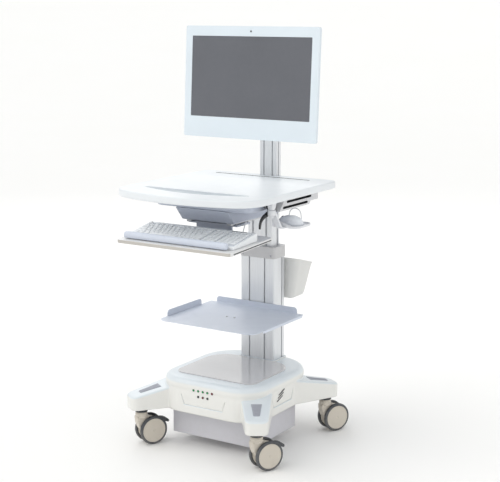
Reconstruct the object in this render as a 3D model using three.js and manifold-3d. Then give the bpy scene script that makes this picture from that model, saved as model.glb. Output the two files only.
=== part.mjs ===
// Height-adjustable computer workstation cart for a ward: wheeled base, lifting column,
// work surface with keyboard tray, and monitor. Millimetres, +Z up, the user stands at -Y.
import * as THREE from 'three'
import { mergeVertices } from 'three/addons/utils/BufferGeometryUtils.js'
import Module from 'manifold-3d'

const wasm = await Module()
wasm.setup()

// ---------------------------------------------------------------- driving sizes
const gap = 0.4                     // air between two pieces that meet
const slideClearance = 0.6          // air between telescoping profiles

const wheelDiameter = 100
const wheelWidth = 13
const forkWidth = 29
const casterTrail = 35
const casterHeading = -28           // degrees, how the casters have come to rest
const stemRadius = 21
const casterTop = wheelDiameter + 18

const hoodHalfWidth = 200
const casterX = hoodHalfWidth + 32  // swivel axes from the middle of the base
const casterY = 227
const hoodFront = -195
const hoodRear = 235
const hoodFrontRadius = 100
const hoodRearRadius = 140
const hoodBottom = casterTop + 12
const hoodTop = hoodBottom + 117
const hoodEdge = 22
const hoodWall = 4
const legTipRadius = 44
const legTipTop = hoodBottom + 51
const legRootTop = hoodBottom + 80
const topPlateThickness = 3

const boxHalfWidth = 165
const boxHalfDepth = 137
const boxBottom = 33
const sheet = 2                     // folded sheet metal

const columnHalfWidth = 69
const columnFront = 145
const columnRear = 221.5
const collarTop = 654
const collarHeight = 40
const collarProud = 2.5
const innerHalfWidth = 49.5
const innerFront = 163
const innerRear = 216
const innerBottom = 330

const shelfTop = 435
const shelfHalfWidth = 192
const shelfFront = -184
const shelfLip = 21

const binTopHalfWidth = 112
const binDepth = 146
const binTop = 607
const binHeight = 148
const binRake = 14                  // degrees, the rim falls towards the rear
const binWall = 2.5

const deskTop = 894
const deskThickness = 24
const deskHalfWidth = 271
const deskRear = 236
const deskApex = 368                // how far the bowed front edge stands forward
const coverBottom = deskTop - 63
const coverHalfWidth = deskHalfWidth - 83
const housingBottom = deskTop - 109
const housingHalfWidth = 104

const trayHalfWidth = 222
const trayDepth = 250
const trayThickness = 12
const trayFront = -360
const trayDrop = 48                 // tray surface at its front edge, below the housing
const trayTilt = 2.5                // degrees, the front edge is the low one
const keyboardHalfWidth = 208
const keyboardDepth = 139
const carriageFront = -130
const carriageDepth = 80

const mastHalfWidth = 34
const mastFront = 217
const mastDepth = 28
const mastBottom = deskTop - 94
const tiltAxisY = 178
const tiltAxisZ = deskTop + 331
const mastTop = tiltAxisZ + 105
const monitorTilt = 3.4             // degrees leaning back
const monitorWidth = 527
const monitorHeight = 378
const screenWidth = 473
const screenHeight = 273
const topBezel = 34.5
const monitorFaceY = -82.4          // front face and lower edge from the tilt axis
const monitorFootZ = -198.2

// ---------------------------------------------------------------- finishes
const finish = (color, roughness, metalness = 0) =>
  new THREE.MeshStandardMaterial({ color, roughness, metalness })
const white = () => finish(0xe4ecf2, 0.35)
const cream = () => finish(0xdedbd2, 0.45)
const beige = () => finish(0xc6bca9, 0.5)
const charcoal = () => finish(0x3c4147, 0.8)
const black = () => finish(0x1b1c1f, 0.5)
const silver = () => finish(0xced2d8, 0.35, 0.8)
const greyPlastic = () => finish(0xb2b2b6, 0.5)
const slate = () => finish(0xa6b0c2, 0.45)
const lilac = () => finish(0xcbc9d2, 0.4, 0.2)
const steel = () => finish(0x8c9096, 0.3, 0.9)

// ---------------------------------------------------------------- helpers
function toSolid(geometry) {
  const bare = geometry.clone()
  bare.deleteAttribute('normal')
  bare.deleteAttribute('uv')
  const merged = mergeVertices(bare, 1e-4)
  return new wasm.Manifold(new wasm.Mesh({
    numProp: 3,
    vertProperties: Float32Array.from(merged.attributes.position.array),
    triVerts: Uint32Array.from(merged.index.array),
  }))
}

function toGeometry(solid) {
  const mesh = solid.getMesh()
  const geometry = new THREE.BufferGeometry()
  geometry.setAttribute('position', new THREE.BufferAttribute(Float32Array.from(mesh.vertProperties), 3))
  geometry.setIndex(new THREE.BufferAttribute(Uint32Array.from(mesh.triVerts), 1))
  geometry.computeVertexNormals()
  return geometry
}

const join = (first, ...others) =>
  toGeometry(others.reduce((whole, piece) => whole.add(toSolid(piece)), toSolid(first)))
const cut = (first, ...others) =>
  toGeometry(others.reduce((whole, piece) => whole.subtract(toSolid(piece)), toSolid(first)))

function block(x0, x1, y0, y1, z0, z1) {
  const geometry = new THREE.BoxGeometry(x1 - x0, y1 - y0, z1 - z0)
  geometry.translate((x0 + x1) / 2, (y0 + y1) / 2, (z0 + z1) / 2)
  return geometry
}

// Upright round bar.
function post(x, y, z0, z1, radius, sides = 24) {
  const geometry = new THREE.CylinderGeometry(radius, radius, z1 - z0, sides)
  geometry.rotateX(Math.PI / 2)
  geometry.translate(x, y, (z0 + z1) / 2)
  return geometry
}

// Round bar that lies along X.
function pinAlongX(x0, x1, y, z, radius, sides = 20) {
  const geometry = new THREE.CylinderGeometry(radius, radius, x1 - x0, sides)
  geometry.rotateZ(Math.PI / 2)
  geometry.translate((x0 + x1) / 2, y, z)
  return geometry
}

function roundedRectangle(x0, x1, y0, y1, radius) {
  const shape = new THREE.Shape()
  shape.moveTo(x0 + radius, y0)
  shape.lineTo(x1 - radius, y0)
  shape.absarc(x1 - radius, y0 + radius, radius, -Math.PI / 2, 0)
  shape.lineTo(x1, y1 - radius)
  shape.absarc(x1 - radius, y1 - radius, radius, 0, Math.PI / 2)
  shape.lineTo(x0 + radius, y1)
  shape.absarc(x0 + radius, y1 - radius, radius, Math.PI / 2, Math.PI)
  shape.lineTo(x0, y0 + radius)
  shape.absarc(x0 + radius, y0 + radius, radius, Math.PI, Math.PI * 1.5)
  return shape
}

function plate(shape, z0, z1, curveSegments = 6) {
  const geometry = new THREE.ExtrudeGeometry(shape, { depth: z1 - z0, bevelEnabled: false, curveSegments })
  geometry.translate(0, 0, z0)
  return geometry
}

// A slab whose upper and lower edges are rounded off by edge.
function softPlate(shape, z0, z1, edge, curveSegments = 6, bevelSegments = 3) {
  const geometry = new THREE.ExtrudeGeometry(shape, {
    depth: z1 - z0 - 2 * edge,
    bevelThickness: edge,
    bevelSize: edge,
    bevelOffset: -edge,
    bevelSegments,
    curveSegments,
  })
  geometry.translate(0, 0, z0 + edge)
  return geometry
}

function outline(points) {
  return new THREE.Shape(points.map(([a, b]) => new THREE.Vector2(a, b)))
}

// A side view drawn as (y, z) points and given thickness from x0 to x1.
function sideProfile(shape, x0, x1, curveSegments = 6) {
  const geometry = new THREE.ExtrudeGeometry(shape, { depth: x1 - x0, bevelEnabled: false, curveSegments })
  const turn = new THREE.Matrix4().makeBasis(
    new THREE.Vector3(0, 1, 0), new THREE.Vector3(0, 0, 1), new THREE.Vector3(1, 0, 0))
  geometry.applyMatrix4(turn)
  geometry.translate(x0, 0, 0)
  return geometry
}

function cordSolid(points, diameter, steps) {
  const route = new THREE.CatmullRomCurve3(points.map(([x, y, z]) => new THREE.Vector3(x, y, z)))
  const section = new THREE.Shape()
  section.absarc(0, 0, diameter / 2, 0, Math.PI * 2)
  return new THREE.ExtrudeGeometry(section, { steps, extrudePath: route, curveSegments: 4 })
}

function add(parent, name, geometry, material) {
  const mesh = new THREE.Mesh(geometry, material)
  mesh.name = name
  parent.add(mesh)
  return mesh
}

const cart = new THREE.Group()

// ---------------------------------------------------------------- base
function hoodOutline(inset) {
  const x = hoodHalfWidth - inset
  const front = hoodFront + inset
  const rear = hoodRear - inset
  const frontRadius = hoodFrontRadius - inset
  const rearRadius = hoodRearRadius - inset
  const shape = new THREE.Shape()
  shape.moveTo(-x + frontRadius, front)
  shape.lineTo(x - frontRadius, front)
  shape.absarc(x - frontRadius, front + frontRadius, frontRadius, -Math.PI / 2, 0)
  shape.lineTo(x, rear - rearRadius)
  shape.absarc(x - rearRadius, rear - rearRadius, rearRadius, 0, Math.PI / 2)
  shape.lineTo(-x + rearRadius, rear)
  shape.absarc(-x + rearRadius, rear - rearRadius, rearRadius, Math.PI / 2, Math.PI)
  shape.lineTo(-x, front + frontRadius)
  shape.absarc(-x + frontRadius, front + frontRadius, frontRadius, Math.PI, Math.PI * 1.5)
  return shape
}

// One leg in plan, in the +X +Y quarter: two straight sides that touch the round tip.
const legRootSide = new THREE.Vector2(hoodHalfWidth - 20, 60)
const legRootEnd = new THREE.Vector2(hoodHalfWidth - 72, 150)
const legTip = new THREE.Vector2(casterX, casterY)

function tangentAngle(from, radius, side) {
  const away = from.clone().sub(legTip)
  return Math.atan2(away.y, away.x) + side * Math.acos(radius / away.length())
}

function legSolid(inset, lowered) {
  const radius = legTipRadius - inset
  const startAngle = tangentAngle(legRootSide, radius, 1)
  const endAngle = tangentAngle(legRootEnd, radius, -1)
  const shape = new THREE.Shape()
  shape.moveTo(hoodHalfWidth - 80, legRootSide.y)
  shape.lineTo(legRootSide.x - inset, legRootSide.y)
  shape.absarc(legTip.x, legTip.y, radius, startAngle, endAngle, false)
  shape.lineTo(legRootEnd.x, legRootEnd.y - inset)
  const bottom = hoodBottom - (inset > 0 ? 1 : 0)
  const bar = plate(shape, bottom, legRootTop + 20)
  const root = legRootSide.clone().add(legRootEnd).multiplyScalar(0.5)
  const run = legTip.clone().sub(root)
  const length = run.length() + legTipRadius
  const fall = Math.atan2(legRootTop - legTipTop, length)
  run.normalize()
  const along = new THREE.Vector3(run.x * Math.cos(fall), run.y * Math.cos(fall), -Math.sin(fall))
  const upward = new THREE.Vector3(run.x * Math.sin(fall), run.y * Math.sin(fall), Math.cos(fall))
  const across = upward.clone().cross(along)
  const slope = new THREE.Matrix4().makeBasis(along, across, upward)
  slope.setPosition(root.x, root.y, legRootTop - lowered)
  const above = block(-400, 400, -400, 400, 0, 200)
  above.applyMatrix4(slope)
  return cut(bar, above)
}

function mirrored(geometry, signX, signY) {
  const copy = geometry.clone()
  copy.applyMatrix4(new THREE.Matrix4().makeScale(signX, signY, 1))
  if (signX * signY < 0) {
    const index = copy.index
    for (let i = 0; i < index.count; i += 3) {
      const first = index.getX(i)
      index.setX(i, index.getX(i + 1))
      index.setX(i + 1, first)
    }
  }
  return copy
}

const corners = [
  ['front_left', -1, -1],
  ['front_right', 1, -1],
  ['rear_right', 1, 1],
  ['rear_left', -1, 1],
]

function hoodSolid() {
  const below = block(-400, 400, -400, 400, hoodBottom - 100, hoodBottom)
  const shell = cut(softPlate(hoodOutline(0), hoodBottom - hoodEdge - 1, hoodTop, hoodEdge), below)
  const outer = corners.map(([, x, y]) => mirrored(legSolid(0, 0), x, y))
  const inner = corners.map(([, x, y]) => mirrored(legSolid(hoodWall, hoodWall + 2), x, y))
  const body = join(shell, ...outer)
  const cavity = softPlate(hoodOutline(hoodWall), hoodBottom - hoodEdge - 1, hoodTop - hoodWall, hoodEdge - 2)
  const columnHole = block(-columnHalfWidth - gap, columnHalfWidth + gap,
    columnFront - gap, columnRear + gap, hoodBottom, hoodTop + 10)
  const inletHole = block(-hoodHalfWidth - 10, -hoodHalfWidth + 12, inletMiddle - inletHalfWidth - gap,
    inletMiddle + inletHalfWidth + gap, inletBottom - gap, inletTop + gap)
  return cut(body, cavity, ...inner, columnHole, inletHole, statusRecess())
}

const inletMiddle = 30
const inletHalfWidth = 25
const inletBottom = hoodBottom + 35
const inletTop = inletBottom + 30

// Shallow tapered recess in the front of the hood that frames the status lights.
const recessDepth = 3
const recessBottom = hoodBottom + 43
const recessTop = recessBottom + 51
const recessFootHalf = 80
const recessHeadHalf = 98

function statusRecess() {
  const shape = outline([[-recessFootHalf, recessBottom], [recessFootHalf, recessBottom],
    [recessHeadHalf, recessTop], [-recessHeadHalf, recessTop]])
  const geometry = new THREE.ExtrudeGeometry(shape, { depth: recessDepth + 10, bevelEnabled: false })
  geometry.rotateX(Math.PI / 2)
  geometry.translate(0, hoodFront + recessDepth, 0)
  return geometry
}

const chassisBottom = hoodBottom + 1.5
const chassisPlateTop = chassisBottom + 10
const armTop = chassisBottom + 24

function chassisSolid() {
  const centre = block(-boxHalfWidth, boxHalfWidth, -boxHalfDepth, boxHalfDepth, chassisBottom, chassisPlateTop)
  const footHalfWidth = columnHalfWidth + 20
  const foot = block(-footHalfWidth, footHalfWidth, 0, columnRear + 2, chassisBottom, chassisPlateTop)
  const start = new THREE.Vector2(hoodHalfWidth - 93, 105)
  const run = new THREE.Vector2(casterX, casterY).sub(start)
  const arms = corners.map(([, x, y]) => {
    const arm = plate(roundedRectangle(-10, run.length() + 20, -20, 20, 8), chassisBottom, armTop)
    arm.rotateZ(Math.atan2(y * run.y, x * run.x))
    arm.translate(x * start.x, y * start.y, 0)
    return arm
  })
  return join(centre, foot, ...arms)
}

function padSolid() {
  const shape = outline([[-38, -18], [34, -10.5], [34, 10.5], [-38, 18]])
  return plate(shape, 0, 2.5)
}

const padCentre = new THREE.Vector2(casterX - 16, casterY - 25)

function addPad(name, signX, signY) {
  const root = legRootSide.clone().add(legRootEnd).multiplyScalar(0.5)
  const run = legTip.clone().sub(root)
  const fall = Math.atan2(legRootTop - legTipTop, run.length() + legTipRadius)
  run.normalize()
  const distance = padCentre.clone().sub(root).dot(run)
  const holder = new THREE.Group()
  holder.position.set(signX * padCentre.x, signY * padCentre.y,
    legRootTop - distance * Math.tan(fall) + gap / Math.cos(fall))
  holder.rotation.order = 'ZYX'
  holder.rotation.z = Math.atan2(signY * run.y, signX * run.x)
  holder.rotation.y = fall
  cart.add(holder)
  add(holder, name, padSolid(), slate())
}

add(cart, 'base_hood', hoodSolid(), cream())
add(cart, 'chassis_frame', chassisSolid(), black())
const plateHalfWidth = hoodHalfWidth - 43
add(cart, 'base_top_plate',
  plate(roundedRectangle(-plateHalfWidth, plateHalfWidth, -136, columnFront - 3, 32),
    hoodTop + gap, hoodTop + gap + topPlateThickness),
  finish(0xc8c6c9, 0.15))
const boxOuter = plate(roundedRectangle(-boxHalfWidth, boxHalfWidth, -boxHalfDepth, boxHalfDepth, 4),
  boxBottom, chassisBottom - gap, 3)
const boxInner = block(-boxHalfWidth + sheet, boxHalfWidth - sheet, -boxHalfDepth + sheet, boxHalfDepth - sheet,
  boxBottom + sheet, chassisBottom + 5)
add(cart, 'battery_box', cut(boxOuter, boxInner), lilac())
add(cart, 'battery_pack', block(-boxHalfWidth + 6, boxHalfWidth - 6, -boxHalfDepth + 6, boxHalfDepth - 6,
  boxBottom + sheet + gap, chassisBottom - 4), black())
const powerHalfWidth = hoodHalfWidth - 50
add(cart, 'power_unit', block(-powerHalfWidth, powerHalfWidth, -150, columnFront - 10,
  armTop + gap, hoodTop - 12), black())
const inletFlange = -hoodHalfWidth + hoodWall + gap
add(cart, 'power_inlet', join(
  block(-hoodHalfWidth + 2, inletFlange + 18, inletMiddle - inletHalfWidth, inletMiddle + inletHalfWidth,
    inletBottom, inletTop),
  block(inletFlange, inletFlange + 5, inletMiddle - inletHalfWidth - 4, inletMiddle + inletHalfWidth + 4,
    inletBottom - 4, inletTop + 4)), black())
for (const [corner, x, y] of corners) addPad(`leg_pad_${corner}`, x, y)

// Five charge lights over three status lights, on one dark carrier strip.
const lightPitch = 18.6
function statusLights() {
  const y = hoodFront + recessDepth
  const studs = []
  for (let i = -2; i <= 2; i++) studs.push([i * lightPitch, recessTop - 9])
  for (let i = -1; i <= 1; i++) studs.push([i * lightPitch, recessTop - 29])
  const carrier = block(-46, 46, y - 1 - gap, y - gap, recessTop - 38, recessTop - 2)
  return join(carrier, ...studs.map(([x, z]) => {
    const stud = new THREE.CylinderGeometry(2.6, 2.6, 1.6, 12)
    stud.translate(x, y - 1.4 - gap, z)
    return stud
  }))
}
add(cart, 'status_panel', statusLights(), cream())

// ---------------------------------------------------------------- column
const grooveWidth = 5
const grooveDepth = 6

function grooves(x0, y0, y1, z0, z1, sideY, frontX, width, depth) {
  return [
    block(frontX - width / 2, frontX + width / 2, y0 - 1, y0 + depth, z0 - 1, z1 + 1),
    block(-frontX - width / 2, -frontX + width / 2, y0 - 1, y0 + depth, z0 - 1, z1 + 1),
    block(frontX - width / 2, frontX + width / 2, y1 - depth, y1 + 1, z0 - 1, z1 + 1),
    block(-frontX - width / 2, -frontX + width / 2, y1 - depth, y1 + 1, z0 - 1, z1 + 1),
    block(x0 - depth, x0 + 1, sideY - width / 2, sideY + width / 2, z0 - 1, z1 + 1),
    block(-x0 - 1, -x0 + depth, sideY - width / 2, sideY + width / 2, z0 - 1, z1 + 1),
  ]
}

const columnBottom = chassisPlateTop + gap
const outerTop = collarTop - 6
const outerProfile = plate(roundedRectangle(-columnHalfWidth, columnHalfWidth, columnFront, columnRear, 8),
  columnBottom, outerTop, 3)
const telescopeBore = block(-innerHalfWidth - slideClearance, innerHalfWidth + slideClearance,
  innerFront - slideClearance, innerRear + slideClearance, columnBottom - 1, collarTop + 1)
add(cart, 'outer_column', cut(outerProfile, telescopeBore,
  ...grooves(columnHalfWidth, columnFront, columnRear + 20, columnBottom, outerTop, 199, 31,
    grooveWidth, grooveDepth)),
silver())

const collarBody = plate(roundedRectangle(-columnHalfWidth - collarProud, columnHalfWidth + collarProud,
  columnFront - collarProud, columnRear + collarProud, 18), collarTop - collarHeight, collarTop)
const collarSocket = plate(roundedRectangle(-columnHalfWidth - gap, columnHalfWidth + gap,
  columnFront - gap, columnRear + gap, 8), collarTop - collarHeight - 1, outerTop + gap, 3)
add(cart, 'column_collar', cut(collarBody, collarSocket, telescopeBore), greyPlastic())

const springY = (innerFront + innerRear) / 2
const springTop = collarTop - 87
const springRodRadius = 5
const springBore = cut(post(0, springY, columnBottom, springTop, 14),
  post(0, springY, columnBottom + 26, springTop + 5, springRodRadius + slideClearance, 16))
add(cart, 'gas_spring_body', springBore, black())

// ---------------------------------------------------------------- shelf and bin
function shelfSolid() {
  const rear = columnFront - 4
  const frontRadius = 34
  const shape = roundedRectangle(-shelfHalfWidth, shelfHalfWidth, shelfFront, rear, frontRadius)
  const sheetBody = plate(shape, shelfTop - sheet, shelfTop)
  const backLip = block(-166, 166, rear - sheet, rear, shelfTop - sheet, shelfTop + shelfLip)
  const backFill = block(-shelfHalfWidth, shelfHalfWidth, rear - frontRadius, rear, shelfTop - sheet, shelfTop)
  const leftLip = block(-shelfHalfWidth, -shelfHalfWidth + sheet, -126, 78,
    shelfTop - sheet, shelfTop + shelfLip)
  const rightFlange = block(shelfHalfWidth - sheet, shelfHalfWidth, -126, rear - 6, shelfTop - 9, shelfTop)
  const holes = [-15.5, 15.5].map((x) => post(x, -24, shelfTop - 8, shelfTop + 5, 2.6, 12))
  return cut(join(sheetBody, backFill, backLip, leftLip, rightFlange), ...holes)
}
add(cart, 'shelf', shelfSolid(), finish(0xd0d8e6, 0.2))

const bracketProfile = outline([[-60, shelfTop - 14], [columnFront - gap, shelfTop - 46],
  [columnFront - gap, shelfTop - sheet - gap], [-60, shelfTop - sheet - gap]])
add(cart, 'shelf_bracket', sideProfile(bracketProfile, -26, 26), silver())

function taperedBin(inset, floor) {
  const half = binTopHalfWidth - inset
  const depth = binDepth - 2 * inset
  const geometry = plate(roundedRectangle(-half, half, 0, depth, 30 - inset), 0, binHeight + floor)
  const place = geometry.attributes.position
  for (let i = 0; i < place.count; i++) {
    const below = (binHeight - place.getZ(i)) / binHeight
    place.setX(i, place.getX(i) * (1 - 0.15 * below))
    place.setY(i, place.getY(i) * (1 - 0.37 * below))
  }
  geometry.translate(0, columnRear + binHookDepth + gap + inset, binTop - binHeight)
  return geometry
}

const binHookDepth = 6
function binSolid() {
  const outer = taperedBin(0, 0)
  const inner = taperedBin(binWall, 20)
  inner.translate(0, 0, binWall)
  const above = block(-300, 300, 0, 400, 0, 200)
  above.rotateX(-THREE.MathUtils.degToRad(binRake))
  above.translate(0, columnRear + binHookDepth, binTop)
  return cut(outer, inner, above)
}
add(cart, 'waste_bin', binSolid(), finish(0xdadad6, 0.4))
add(cart, 'bin_hook',
  block(-40, 40, columnRear + gap, columnRear + binHookDepth, binTop - 60, binTop - 10), steel())

// ---------------------------------------------------------------- lifting head
const head = new THREE.Group()
cart.add(head)

const frameBottom = deskTop - 46
const innerTop = frameBottom - gap
const innerProfile = block(-innerHalfWidth, innerHalfWidth, innerFront, innerRear, innerBottom, innerTop)
const innerBoreHalf = innerHalfWidth - 13.5
const innerBore = block(-innerBoreHalf, innerBoreHalf, innerFront + 9, innerRear - 9,
  innerBottom - 1, innerTop + 1)
add(head, 'inner_column', cut(innerProfile, innerBore,
  ...grooves(innerHalfWidth, innerFront, innerRear, innerBottom, innerTop, 199, 31, 7, 5)), silver())
add(head, 'gas_spring_rod', post(0, springY, innerBottom - 5, innerTop, springRodRadius, 16), steel())

const deskBottom = deskTop - deskThickness
add(head, 'desk_frame', block(-120, 120, 142, mastFront - gap, frameBottom, deskBottom - gap), steel())

function deskOutline() {
  const x = deskHalfWidth
  const rearRadius = 35
  const frontShoulder = -235
  const shoulderX = 190
  const shoulderY = -deskApex + 28
  const shape = new THREE.Shape()
  shape.moveTo(x, frontShoulder)
  shape.lineTo(x, deskRear - rearRadius)
  shape.absarc(x - rearRadius, deskRear - rearRadius, rearRadius, 0, Math.PI / 2)
  shape.lineTo(-x + rearRadius, deskRear)
  shape.absarc(-x + rearRadius, deskRear - rearRadius, rearRadius, Math.PI / 2, Math.PI)
  shape.lineTo(-x, frontShoulder)
  shape.quadraticCurveTo(-x, shoulderY + 24, -shoulderX, shoulderY)
  shape.quadraticCurveTo(0, -deskApex - 28, shoulderX, shoulderY)
  shape.quadraticCurveTo(x, shoulderY + 24, x, frontShoulder)
  return shape
}

function penSlot() {
  const slot = roundedRectangle(-deskHalfWidth + 71, deskHalfWidth - 85, 180, 189, 4)
  return plate(slot, deskTop - 5, deskTop + 5, 4)
}

// Crescent tray near the user: a straight rear edge and a bowed front edge.
function crescent() {
  const half = deskHalfWidth - 66
  const rear = -215
  const shape = new THREE.Shape()
  shape.moveTo(half, rear - 11)
  shape.quadraticCurveTo(half - 9, rear, half - 25, rear)
  shape.lineTo(-half + 25, rear)
  shape.quadraticCurveTo(-half + 9, rear, -half, rear - 11)
  shape.quadraticCurveTo(0, rear - 111, half, rear - 11)
  return plate(shape, deskTop - 3, deskTop + 5, 10)
}

const mastNotch = block(-mastHalfWidth - 1, mastHalfWidth + 1, mastFront - 1, deskRear + 10,
  deskBottom - 5, deskTop + 5)
const deskSlab = softPlate(deskOutline(), deskBottom, deskTop, 6, 8, 2)
add(head, 'desktop', cut(deskSlab, penSlot(), crescent(), mastNotch), white())

add(head, 'under_desk_cover', plate(roundedRectangle(-coverHalfWidth, coverHalfWidth, -200, 140, 32),
  coverBottom, deskBottom - gap), slate())

const housingProfile = outline([[-158, housingBottom], [130, housingBottom], [130, coverBottom - gap],
  [-197, coverBottom - gap]])
add(head, 'under_desk_housing', sideProfile(housingProfile, -housingHalfWidth, housingHalfWidth), slate())

// Slotted electronics box under the right edge of the desktop.
const ventBoxInner = coverHalfWidth + 1
const ventBoxOuter = ventBoxInner + 46
const ventBottom = deskTop - 65.5
const ventProfile = outline([[-60, deskBottom - gap], [-95, ventBottom], [96, ventBottom],
  [107, ventBottom + 11], [156, ventBottom + 11], [156, deskBottom - gap]])
add(head, 'vent_box', cut(sideProfile(ventProfile, ventBoxInner, ventBoxOuter),
  block(ventBoxOuter - 12, ventBoxOuter + 5, -48, 110, ventBottom + 23.5, ventBottom + 30.5),
  block(ventBoxOuter - 12, ventBoxOuter + 5, -72, 86, ventBottom + 6.5, ventBottom + 13.5)), white())

// Height release lever, a cranked flat bar on a stub pin at the side of the cover.
const leverY = -105
const leverZ = deskTop - 48
const leverInner = coverHalfWidth + 6.5
const leverOuter = leverInner + 9.5
const leverPin = join(pinAlongX(coverHalfWidth + gap, leverOuter + 2, leverY, leverZ, 4),
  pinAlongX(coverHalfWidth + gap, leverInner - 0.5, leverY, leverZ, 9))
add(head, 'lever_pin', leverPin, steel())
const lever = new THREE.Group()
head.add(lever)
const leverOutline = outline([[-7, 7], [7, 7], [9, -18], [5, -25], [-28, -34], [-44, -47],
  [-46, -64], [-52, -68], [-58, -64], [-57, -43], [-37, -22], [-5, -14]])
const leverBar = sideProfile(leverOutline, leverInner, leverOuter)
leverBar.translate(0, leverY, leverZ)
const leverHole = pinAlongX(leverInner - 5, leverOuter + 10, leverY, leverZ, 4.4)
add(lever, 'height_lever', cut(leverBar, leverHole), black())

// ---------------------------------------------------------------- keyboard tray
const railTop = housingBottom - gap
const railBottom = railTop - 7
const trayTop = housingBottom - trayDrop
const rails = [-79, 79].map((x) => block(x - 9, x + 9, -152, 125, railBottom, railTop))
add(head, 'slide_rails', join(block(-80, 80, -120, 100, railTop - 1.5, railTop), ...rails), steel())

const sliding = new THREE.Group()
head.add(sliding)
const trayTurn = THREE.MathUtils.degToRad(trayTilt)
const webFront = carriageFront + 8
const webRear = webFront + 6
const traySurfaceAtWeb = trayTop + (webRear - trayFront) * Math.tan(trayTurn)
const carriage = join(
  block(-96, 96, carriageFront, carriageFront + carriageDepth, railBottom - gap - 6, railBottom - gap),
  block(-70, 70, webFront, webRear, traySurfaceAtWeb + gap, railBottom - gap - 1),
  block(-70, 70, webFront, webRear + 6, traySurfaceAtWeb + gap + 0.3, traySurfaceAtWeb + gap + 4))
add(sliding, 'tray_carriage', carriage, slate())

const tilted = new THREE.Group()
tilted.position.set(0, trayFront, trayTop)
tilted.rotation.x = trayTurn
sliding.add(tilted)
add(tilted, 'keyboard_tray', plate(roundedRectangle(-trayHalfWidth, trayHalfWidth, 0, trayDepth, 14),
  -trayThickness, 0), finish(0xe2e2e0, 0.4))

const restFront = 17
const restDepth = 18
const wristProfile = new THREE.Shape()
wristProfile.moveTo(restFront, gap)
wristProfile.lineTo(restFront + restDepth, gap)
wristProfile.lineTo(restFront + restDepth, 16)
wristProfile.quadraticCurveTo(restFront + restDepth, 21, restFront + 9, 21)
wristProfile.quadraticCurveTo(restFront, 21, restFront, 12)
add(tilted, 'wrist_rest', sideProfile(wristProfile, -202, 202), slate())

const keyFront = restFront + restDepth + 2
const keyboardProfile = outline([[keyFront, gap], [keyFront + keyboardDepth, gap],
  [keyFront + keyboardDepth, 25], [keyFront + keyboardDepth - 5, 28], [keyFront, 9.5]])
add(tilted, 'keyboard', sideProfile(keyboardProfile, -keyboardHalfWidth, keyboardHalfWidth), white())

add(sliding, 'keyboard_cable', cordSolid([
  [148, -182.8, 764], [148, -176, 768], [147.5, -168, 780], [146, -160, 790], [141, -148, 795],
  [133, -134, 794], [124, -120, 788], [115, -110, 781], [107, -106, 776], [96.6, -105, 773.8]],
3.6, 34), white())

// ---------------------------------------------------------------- mouse holder
const pivotX = deskHalfWidth - 50
const pivotY = -120
const bracketFoot = deskBottom - 32
const pinRadius = 6
add(head, 'mouse_bracket', join(
  block(pivotX - 13, pivotX + 13, pivotY - 18, pivotY + 18, bracketFoot, deskBottom - gap),
  post(pivotX, pivotY, bracketFoot - 26, bracketFoot + 1, pinRadius)), white())

const holder = new THREE.Group()
head.add(holder)
const dishFloor = bracketFoot - 70
const dishMiddleX = pivotX + 1
function armSolid() {
  const bossFoot = bracketFoot - 18
  const boss = cut(post(pivotX, pivotY, bossFoot, bracketFoot - gap, 13),
    post(pivotX, pivotY, bossFoot - 20, bracketFoot + 22, pinRadius + gap))
  const strip = outline([[12, 52], [26, 30], [44, 8], [58, 0], [90, 0], [90, 5], [60, 5],
    [48, 12], [32, 34], [18, 64], [12, 64]])
  const arm = sideProfile(strip, pivotX - 13, pivotX + 9)
  arm.translate(0, pivotY, dishFloor)
  const dish = plate(roundedRectangle(dishMiddleX - 54, dishMiddleX + 54, -50, 54, 22),
    dishFloor, dishFloor + 9)
  const hollow = plate(roundedRectangle(dishMiddleX - 51, dishMiddleX + 51, -47, 51, 19),
    dishFloor + 4, dishFloor + 30)
  return join(boss, arm, cut(dish, hollow))
}
add(holder, 'mouse_arm', armSolid(), white())

function mouseSolid() {
  const shell = new THREE.SphereGeometry(1, 24, 14)
  shell.rotateX(Math.PI / 2)
  shell.scale(46, 28, 33)
  shell.translate(dishMiddleX - 2, 1, dishFloor + 4 + gap)
  return cut(shell, block(0, 2 * dishMiddleX, -100, 100, dishFloor - 60, dishFloor + 4 + gap))
}
add(holder, 'mouse', mouseSolid(), white())
add(holder, 'mouse_cable', cordSolid([
  [200.4, 21.5, 792], [199, 25.5, 795], [198, 30, 802], [199, 33, 811], [205, 35, 818], [214, 36, 821.5],
  [223, 37, 820.5], [231, 38, 816], [235.5, 39, 808], [237, 40, 798], [237.5, 41, 786], [237.5, 42, 772.6]],
3, 44), white())

// ---------------------------------------------------------------- mast and monitor
const mastRear = mastFront + mastDepth
add(head, 'mast', cut(block(-mastHalfWidth, mastHalfWidth, mastFront, mastRear, mastBottom, mastTop),
  ...grooves(mastHalfWidth, mastFront, mastRear, mastBottom, mastTop, mastFront + mastDepth / 2, 17, 9, 6)),
silver())
const clampSide = mastHalfWidth + gap
add(head, 'mast_foot', cut(block(-60, 60, mastFront, mastRear + 6, mastBottom + 12, deskBottom - 2),
  block(-clampSide, clampSide, mastFront - 5, mastRear + gap, mastBottom, deskTop)), steel())

const earInner = 30
const earOuter = 38
function headClamp() {
  const back = block(-42, 42, 196, mastFront - gap, tiltAxisZ - 34, tiltAxisZ + 34)
  const ears = [-1, 1].map((side) => block(Math.min(side * earInner, side * earOuter),
    Math.max(side * earInner, side * earOuter), tiltAxisY - 12, 200, tiltAxisZ - 14, tiltAxisZ + 14))
  return join(back, ...ears, pinAlongX(-earOuter - 3, earOuter + 3, tiltAxisY, tiltAxisZ, 5))
}
add(head, 'tilt_clamp', headClamp(), greyPlastic())

const monitor = new THREE.Group()
monitor.position.set(0, tiltAxisY, tiltAxisZ)
monitor.rotation.x = -THREE.MathUtils.degToRad(monitorTilt)
head.add(monitor)

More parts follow.
